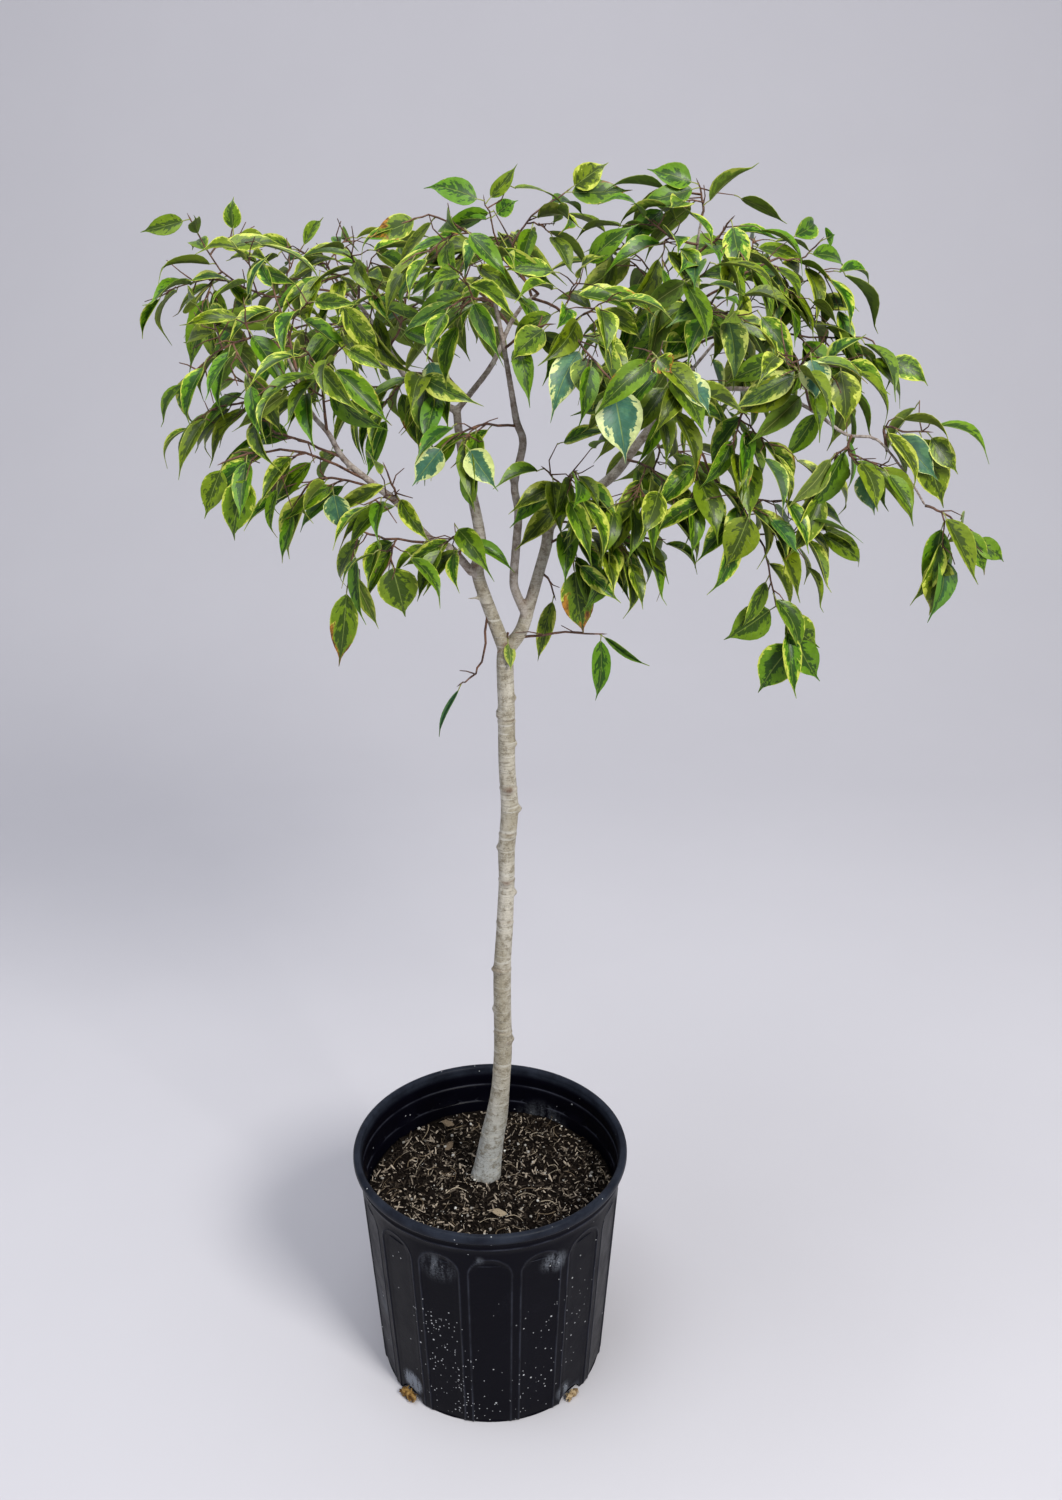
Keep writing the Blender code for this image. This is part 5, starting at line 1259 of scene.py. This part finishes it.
def leaf_look(rng, shoot_name, leaf_key):
    """Four shares that the leaf's colours are drawn from: cream edge, tone, painted blue sky sheen, dryness."""
    drawn = (
        rng.random() ** 1.3,
        rng.random(),
        max(0.0, rng.random() * 3.0 - 2.65),
        max(0.0, rng.random() * 5.0 - 4.3),
    )
    return MARKED_LEAVES.get((shoot_name, *leaf_key), drawn) if leaf_key else drawn


def leaf_paint(name, under):
    """The leaf's colours, from its map and its four shares. The underside is paler and duller."""
    leaf = Paint(name, 0.5, Specular_IOR_Level=0.25, Coat_Weight=0.0 if under else 0.14, Coat_Roughness=0.28)
    chart = leaf.add("UVMap", uv_map="blade")
    across = leaf.add("SeparateXYZ", chart)
    along = leaf.add("SeparateXYZ", chart, out="Y")
    side = leaf.math("ABSOLUTE", leaf.math("MULTIPLY_ADD", across, 2.0, -1.0))
    hand = leaf.math("SIGN", leaf.math("ADD", across, -0.5))
    shares = leaf.add("Attribute", attribute_name="look")
    cream = leaf.add("SeparateColor", shares)
    tone = leaf.add("SeparateColor", shares, out=1)
    sky_sheen = leaf.add("SeparateColor", shares, out=2)
    dry = leaf.add("Attribute", attribute_name="look", out="Alpha")
    seed = leaf.add("Attribute", attribute_name="seed", out="Fac")
    slant = leaf.math("SUBTRACT", along, leaf.math("MULTIPLY", side, 0.16))
    shift = leaf.math("MULTIPLY_ADD", hand, 3.7, leaf.math("MULTIPLY", seed, 90.0))

    def patchy(length, width, offset, detail):
        """Noise that is long across the blade or along it, and differs on each half of each leaf."""
        spot = (leaf.math("MULTIPLY", slant, length), leaf.math("MULTIPLY", side, width))
        return leaf.noise(leaf.add("CombineXYZ", *spot, leaf.math("ADD", shift, offset)), 1.0, detail, 0.6)

    jagged = patchy(15.0, 2.2, 0.0, 4)
    cloudy = patchy(5.0, 1.6, 20.0, 3)
    streaky = patchy(24.0, 2.6, 40.0, 4)
    edge = leaf.math("MULTIPLY_ADD", leaf.math("SUBTRACT", jagged, 0.5), 1.35, side)
    edge = leaf.math("MULTIPLY_ADD", leaf.math("SUBTRACT", cloudy, 0.5), 1.5, edge)
    reach = leaf.math("MULTIPLY_ADD", cream, -0.60, 1.28)
    cream_mask = leaf.steps(leaf.math("SUBTRACT", edge, reach), -0.02, 0.04)
    rim_line = leaf.math("MULTIPLY", leaf.steps(side, 0.91, 0.97), leaf.steps(cream, 0.10, 0.70))
    cream_mask = leaf.math("MAXIMUM", cream_mask, rim_line)
    patches = leaf.math("MULTIPLY_ADD", cloudy, 1.0, leaf.math("MULTIPLY", jagged, 0.8))
    light_patch = leaf.steps(leaf.math("MULTIPLY_ADD", side, 0.40, patches), 1.03, 1.09)
    deep = leaf.mix(tone, (0.040, 0.064, 0.001), (0.012, 0.066, 0.001))
    fresh = leaf.mix(tone, (0.185, 0.250, 0.003), (0.110, 0.285, 0.004))
    green = leaf.mix(leaf.math("MULTIPLY", light_patch, 0.85), deep, fresh)
    # Painted reflection: a blue sheen of sky light is painted into the green of some leaves and into their cream
    # edges
    sky_sheen_colour = leaf.mix(cloudy, (0.025, 0.110, 0.070), (0.080, 0.230, 0.175))
    green = leaf.mix(leaf.math("MULTIPLY", sky_sheen, 0.85), green, sky_sheen_colour)
    pale = leaf.mix(streaky, (0.46, 0.56, 0.015), (0.78, 0.80, 0.17))
    pale = leaf.mix(leaf.math("MULTIPLY", sky_sheen, 0.55), pale, (0.72, 0.80, 0.50))
    colour = leaf.mix(leaf.math("MULTIPLY", cream_mask, leaf.steps(cream, 0.05, 0.6, 0.50, 0.92)), green, pale)
    low = leaf.math("MULTIPLY_ADD", along, 0.55, leaf.math("MULTIPLY", side, 0.30))
    withered = leaf.math("ADD", leaf.math("MULTIPLY", dry, 0.42), leaf.math("MULTIPLY", cloudy, 1.3))
    brown_mask = leaf.steps(leaf.math("ADD", low, withered), 1.56, 1.68)
    brown_mask = leaf.math("MULTIPLY", brown_mask, leaf.steps(dry, 0.02, 0.15))
    brown = leaf.mix(leaf.steps(streaky, 0.35, 0.65), (0.10, 0.028, 0.004), (0.50, 0.22, 0.025))
    colour = leaf.mix(brown_mask, colour, brown)
    beat = leaf.math("ABSOLUTE", leaf.math("SINE", leaf.math("MULTIPLY", slant, 36.0)))
    ribs = leaf.steps(beat, 0.0, 0.14, 1.0, 0.0)
    midrib = leaf.steps(side, 0.012, 0.050, 1.0, 0.0)
    colour = leaf.mix(leaf.math("MULTIPLY", ribs, 0.10), colour, (0.26, 0.36, 0.06))
    colour = leaf.mix(leaf.math("MULTIPLY", midrib, 0.50), colour, (0.30, 0.40, 0.07))
    mottle = leaf.noise(leaf.place(), 240, 4, 0.6)
    colour = leaf.mix(leaf.steps(mottle, 0.35, 0.75, 0.30, 0.0), colour, (0.020, 0.042, 0.002))
    height = leaf.math("ADD", leaf.math("MULTIPLY", midrib, -0.8), leaf.math("MULTIPLY", ribs, -0.35))
    height = leaf.math("MULTIPLY_ADD", cloudy, 0.6, height)
    if under:
        colour = leaf.mix(0.45, colour, (0.150, 0.190, 0.030))
        colour = leaf.mix(leaf.math("MULTIPLY", midrib, 0.5), colour, (0.40, 0.42, 0.13))
        return leaf.finish(colour, leaf.steps(mottle, 0.3, 0.7, 0.58, 0.70), height, 0.0004, -0.5)
    return leaf.finish(colour, leaf.steps(mottle, 0.3, 0.7, 0.36, 0.50), height, 0.0005, 0.6)


def twig_paint():
    twig = Paint("twig_bark", 0.65, Specular_IOR_Level=0.4)
    place = twig.place()
    patchy = twig.noise(place, 120, 5, 0.6)
    fine = twig.noise(place, 700, 4, 0.6)
    shade = twig.mix(twig.steps(patchy, 0.35, 0.68), (0.045, 0.020, 0.012), (0.170, 0.078, 0.045))
    shade = twig.mix(twig.steps(fine, 0.52, 0.75, 0.0, 0.5), shade, (0.30, 0.21, 0.15))
    return twig.finish(shade, None, fine, 0.0004, 0.5)


def stalk_paint():
    stalk = Paint("leaf_stalk", 0.5, Specular_IOR_Level=0.4)
    place = stalk.place()
    shade = stalk.mix(stalk.noise(place, 150, 3), (0.13, 0.17, 0.03), (0.34, 0.34, 0.10))
    return stalk.finish(shade, None, stalk.noise(place, 600, 3), 0.0003, 0.4)


def twig_runs(rng, twigs, leaf_count):
    """The shoot's twigs, thinner towards their tips, and the short twiglets on them."""
    runs = []
    for index, twig in enumerate(twigs):
        route = smooth_route(twig, 2)
        for spot in range(2, len(route) - 1):
            route[spot] = route[spot] + np.array([rng.uniform(-0.0009, 0.0009) for _ in range(3)])
        thick, thin = (0.00122, 0.00062) if index == 0 else (0.00080, 0.00045)
        shares = [step / (len(route) - 1) for step in range(len(route))]
        radii = [(thick + (thin - thick) * share) * rng.uniform(0.93, 1.08) for share in shares]
        tip = route[-1] + unit(route[-1] - route[-2]) * 0.004
        runs.append(([*route, tip], [*radii, 0.00012]))
    twiglets = []
    for number in range(leaf_count):
        index = rng.randrange(len(twigs))
        root, along = place_on(twigs[index], rng.uniform(0.25, 0.95))
        sideways = unit(np.array([rng.gauss(0, 1), rng.gauss(0, 1), rng.gauss(-0.2, 0.7)]))
        ahead = unit(along * 0.7 + sideways)
        reach = rng.uniform(0.012, 0.032)
        bend = unit(ahead + np.array([rng.uniform(-0.6, 0.6) for _ in range(3)]))
        points = [root, root + ahead * reach * 0.5, root + ahead * reach * 0.5 + bend * reach * 0.5]
        runs.append((points, [0.00065, 0.0005, 0.00035]))
        twiglets.append(points)
    return runs, twiglets


def twiglet_leaves(rng, twiglets):
    """More leaves, on the tips of some of the twiglets. The right half of the crown is the denser one."""
    leaves = []
    for number, points in enumerate(twiglets):
        root = points[-1]
        chance = 0.36 if root[0] < -0.03 else 0.62 if root[0] < 0.06 else 0.85
        ceiling = 1.095 if root[0] < 0.0 else 1.140
        leaf = drawn_leaf(rng, points, 1.0, number, number % 2 == 0)
        tip = leaf[0] + leaf[1] * leaf[3]
        inside = -0.255 < tip[0] < 0.400 and -0.160 < tip[1] < 0.240 and 0.80 < tip[2] < ceiling
        if rng.random() < chance and inside and root[1] > -0.075 and root[2] > 0.84:
            leaves.append((leaf, ()))
    return leaves


def fresh_verts(shape, mesh):
    """Adds a mesh to the shape, and gives back its points there."""
    start = len(shape.verts)
    shape.from_mesh(mesh)
    shape.verts.ensure_lookup_table()
    return shape.verts[start:]


def shoot_mesh(name, twigs, leaves, blank, rng):
    """Twigs, stalks and leaves of one shoot. Material 0 is the twig, 1 the leaf, 2 its underside, 3 the stalk."""
    shape = bmesh.new()
    shape.loops.layers.uv.new("blade")
    look = shape.verts.layers.float_color.new("look")
    seed = shape.verts.layers.float.new("seed")
    runs, twiglets = twig_runs(rng, twigs, len(leaves))
    leaves = leaves + twiglet_leaves(rng, twiglets) if len(leaves) > 3 else leaves
    for leaf, leaf_key in leaves:
        slim = rng.uniform(0.95, 1.06) if leaf_key else rng.uniform(0.68, 0.94) + 0.16 * (leaf[0][0] > 0.03)
        bends = (
            math.radians(rng.uniform(4, 16) if leaf_key else rng.uniform(8, 42)),
            rng.uniform(0.02, 0.07) if leaf_key else rng.uniform(0.03, 0.13),
            rng.uniform(-0.05, 0.05),
            rng.uniform(0.02, 0.09),
            rng.uniform(0, math.tau),
            rng.uniform(-0.3, 1.0),
        )
        if (name, *leaf_key) in EDGE_ON_LEAVES:
            bends = (math.radians(62), 0.04, 0.06, *bends[3:])
        shares = leaf_look(rng, name, leaf_key)
        draw = rng.random()
        base, pointing, facing, length, width = leaf
        placed = (base, pointing, facing, length * (1.0 if leaf_key else 1.07), width * slim)
        for vertex in fresh_verts(shape, blank):
            vertex.co = Vector(bent_leaf(vertex, placed, bends))
            vertex[look] = shares
            vertex[seed] = draw
    bmesh.ops.recalc_face_normals(shape, faces=shape.faces)
    for face in shape.faces:
        face.material_index = 1
    upper = set(shape.faces)
    bmesh.ops.solidify(shape, geom=shape.faces[:], thickness=LEAF_SHELL)
    for face in shape.faces:
        if face not in upper:
            face.material_index = 2
    stalks = []
    for (base, pointing, facing, length, width), _ in leaves:
        start = base
        end = base + pointing * (LEAF_STALK + 0.0016)
        sag = base + pointing * LEAF_STALK * 0.5 + facing * 0.0005
        stalks.append(([start, sag, end], [0.00062, 0.00048, 0.00042]))
    for rod_runs, index in ((runs, 0), (stalks, 3)):
        faces_before = len(shape.faces)
        fresh_verts(shape, rods(rod_runs, 6))
        shape.faces.ensure_lookup_table()
        for face in shape.faces[faces_before:]:
            face.material_index = index
    return mesh_of(shape, name)


LEAF_SHELL = 0.0003
leaf_paints = [twig_paint(), leaf_paint("leaf_green", False), leaf_paint("leaf_underside", True), stalk_paint()]
one_blade = leaf_blank()
look_rng = random.Random(31)
for shoot_name, shoot_routes, shoot_leaves in grow():
    shoot_name_full = "shoot_" + shoot_name
    mesh = shoot_mesh(shoot_name, shoot_routes, shoot_leaves, one_blade, look_rng)
    piece(shoot_name_full + "_look", mesh, leaf_paints, [shoot_name_full], 60)

# The young leaf at the fork
# One small pale leaf that hangs on the front of the trunk, just below where it forks.

bud_base = np.array((0.0205, -0.0045, 0.7790))
bud_pointing = unit(np.array((0.08, -0.30, -1.0)))
bud_facing = unit(np.cross(np.array((1.0, 0.25, 0.0)), bud_pointing))
bud_leaf = (bud_base, bud_pointing, bud_facing, 0.029, 0.010)
bud_twig = [bud_base + np.array((0.0, 0.0060, 0.0010)), bud_base + np.array((0.0, 0.0030, 0.0012)), bud_base]
mesh = shoot_mesh("fork_bud", [bud_twig], [(bud_leaf, (0, 1.0))], one_blade, look_rng)
piece("fork_bud_leaf", mesh, leaf_paints, (), 60)

# The floor, the light and the camera
# None of this is part of the object: a plain pale floor that curves up behind, soft studio light, and the
# camera at the photograph's place and angle.

floor_shape = bmesh.new()
floor_profile = [(-6.0, 0.0), (1.4, 0.0)]
floor_profile += [(1.4 + 1.6 * math.sin(a), 1.6 - 1.6 * math.cos(a)) for a in np.linspace(0.08, math.pi / 2, 20)]
floor_profile += [(3.0, 6.0)]
left_edge = [floor_shape.verts.new((-6.0, y, z - 0.0002)) for y, z in floor_profile]
edges = [floor_shape.edges.new(pair) for pair in zip(left_edge, left_edge[1:])]
made = bmesh.ops.extrude_edge_only(floor_shape, edges=edges)
moved = [part for part in made["geom"] if isinstance(part, bmesh.types.BMVert)]
bmesh.ops.translate(floor_shape, verts=moved, vec=(12.0, 0, 0))
bmesh.ops.recalc_face_normals(floor_shape, faces=floor_shape.faces)
floor = bpy.data.objects.new("floor", mesh_of(floor_shape, "floor"))
bpy.context.scene.collection.objects.link(floor)
floor.data.shade_smooth()
floor_paint = Paint("floor", 0.9, Specular_IOR_Level=0.1)
floor_grain = floor_paint.noise(floor_paint.place(), 3, 3)
floor_colour = floor_paint.mix(floor_grain, (0.60, 0.59, 0.63), (0.63, 0.62, 0.66))
floor.data.materials.append(floor_paint.finish(floor_colour))


def soft_light(name, place, target, size, power, colour):
    lamp = bpy.data.lights.new(name, "AREA")
    lamp.shape = "RECTANGLE"
    lamp.size, lamp.size_y = size
    lamp.energy = power
    lamp.color = colour
    made = bpy.data.objects.new(name, lamp)
    bpy.context.scene.collection.objects.link(made)
    made.location = place
    made.rotation_euler = (Vector(target) - Vector(place)).to_track_quat("-Z", "Y").to_euler()


soft_light("key", (1.5, -2.0, 2.6), (0.0, 0.0, 0.8), (0.9, 0.9), 92, (1.0, 0.98, 0.93))
soft_light("sky", (-0.4, -0.3, 3.4), (0.0, 0.0, 0.8), (1.8, 1.8), 52, (0.94, 0.97, 1.0))
soft_light("fill", (-2.4, -1.4, 1.2), (0.0, 0.0, 0.7), (1.8, 1.8), 9, (0.96, 0.97, 1.0))
world = bpy.data.worlds.new("soft_room")
world.use_nodes = True
world.node_tree.nodes["Background"].inputs["Color"].default_value = (0.80, 0.82, 0.90, 1.0)
world.node_tree.nodes["Background"].inputs["Strength"].default_value = 0.42
bpy.context.scene.world = world

camera_data = bpy.data.cameras.new("camera")
camera_data.sensor_width = 36.0
camera_data.lens = 35.3
camera = bpy.data.objects.new("camera", camera_data)
bpy.context.scene.collection.objects.link(camera)
camera.location = (0.0402, -1.183, 1.181)
camera.rotation_euler = (math.radians(90 - 23.24), 0.0, 0.0)
bpy.context.scene.camera = camera

bpy.context.scene.view_settings.view_transform = "Standard"
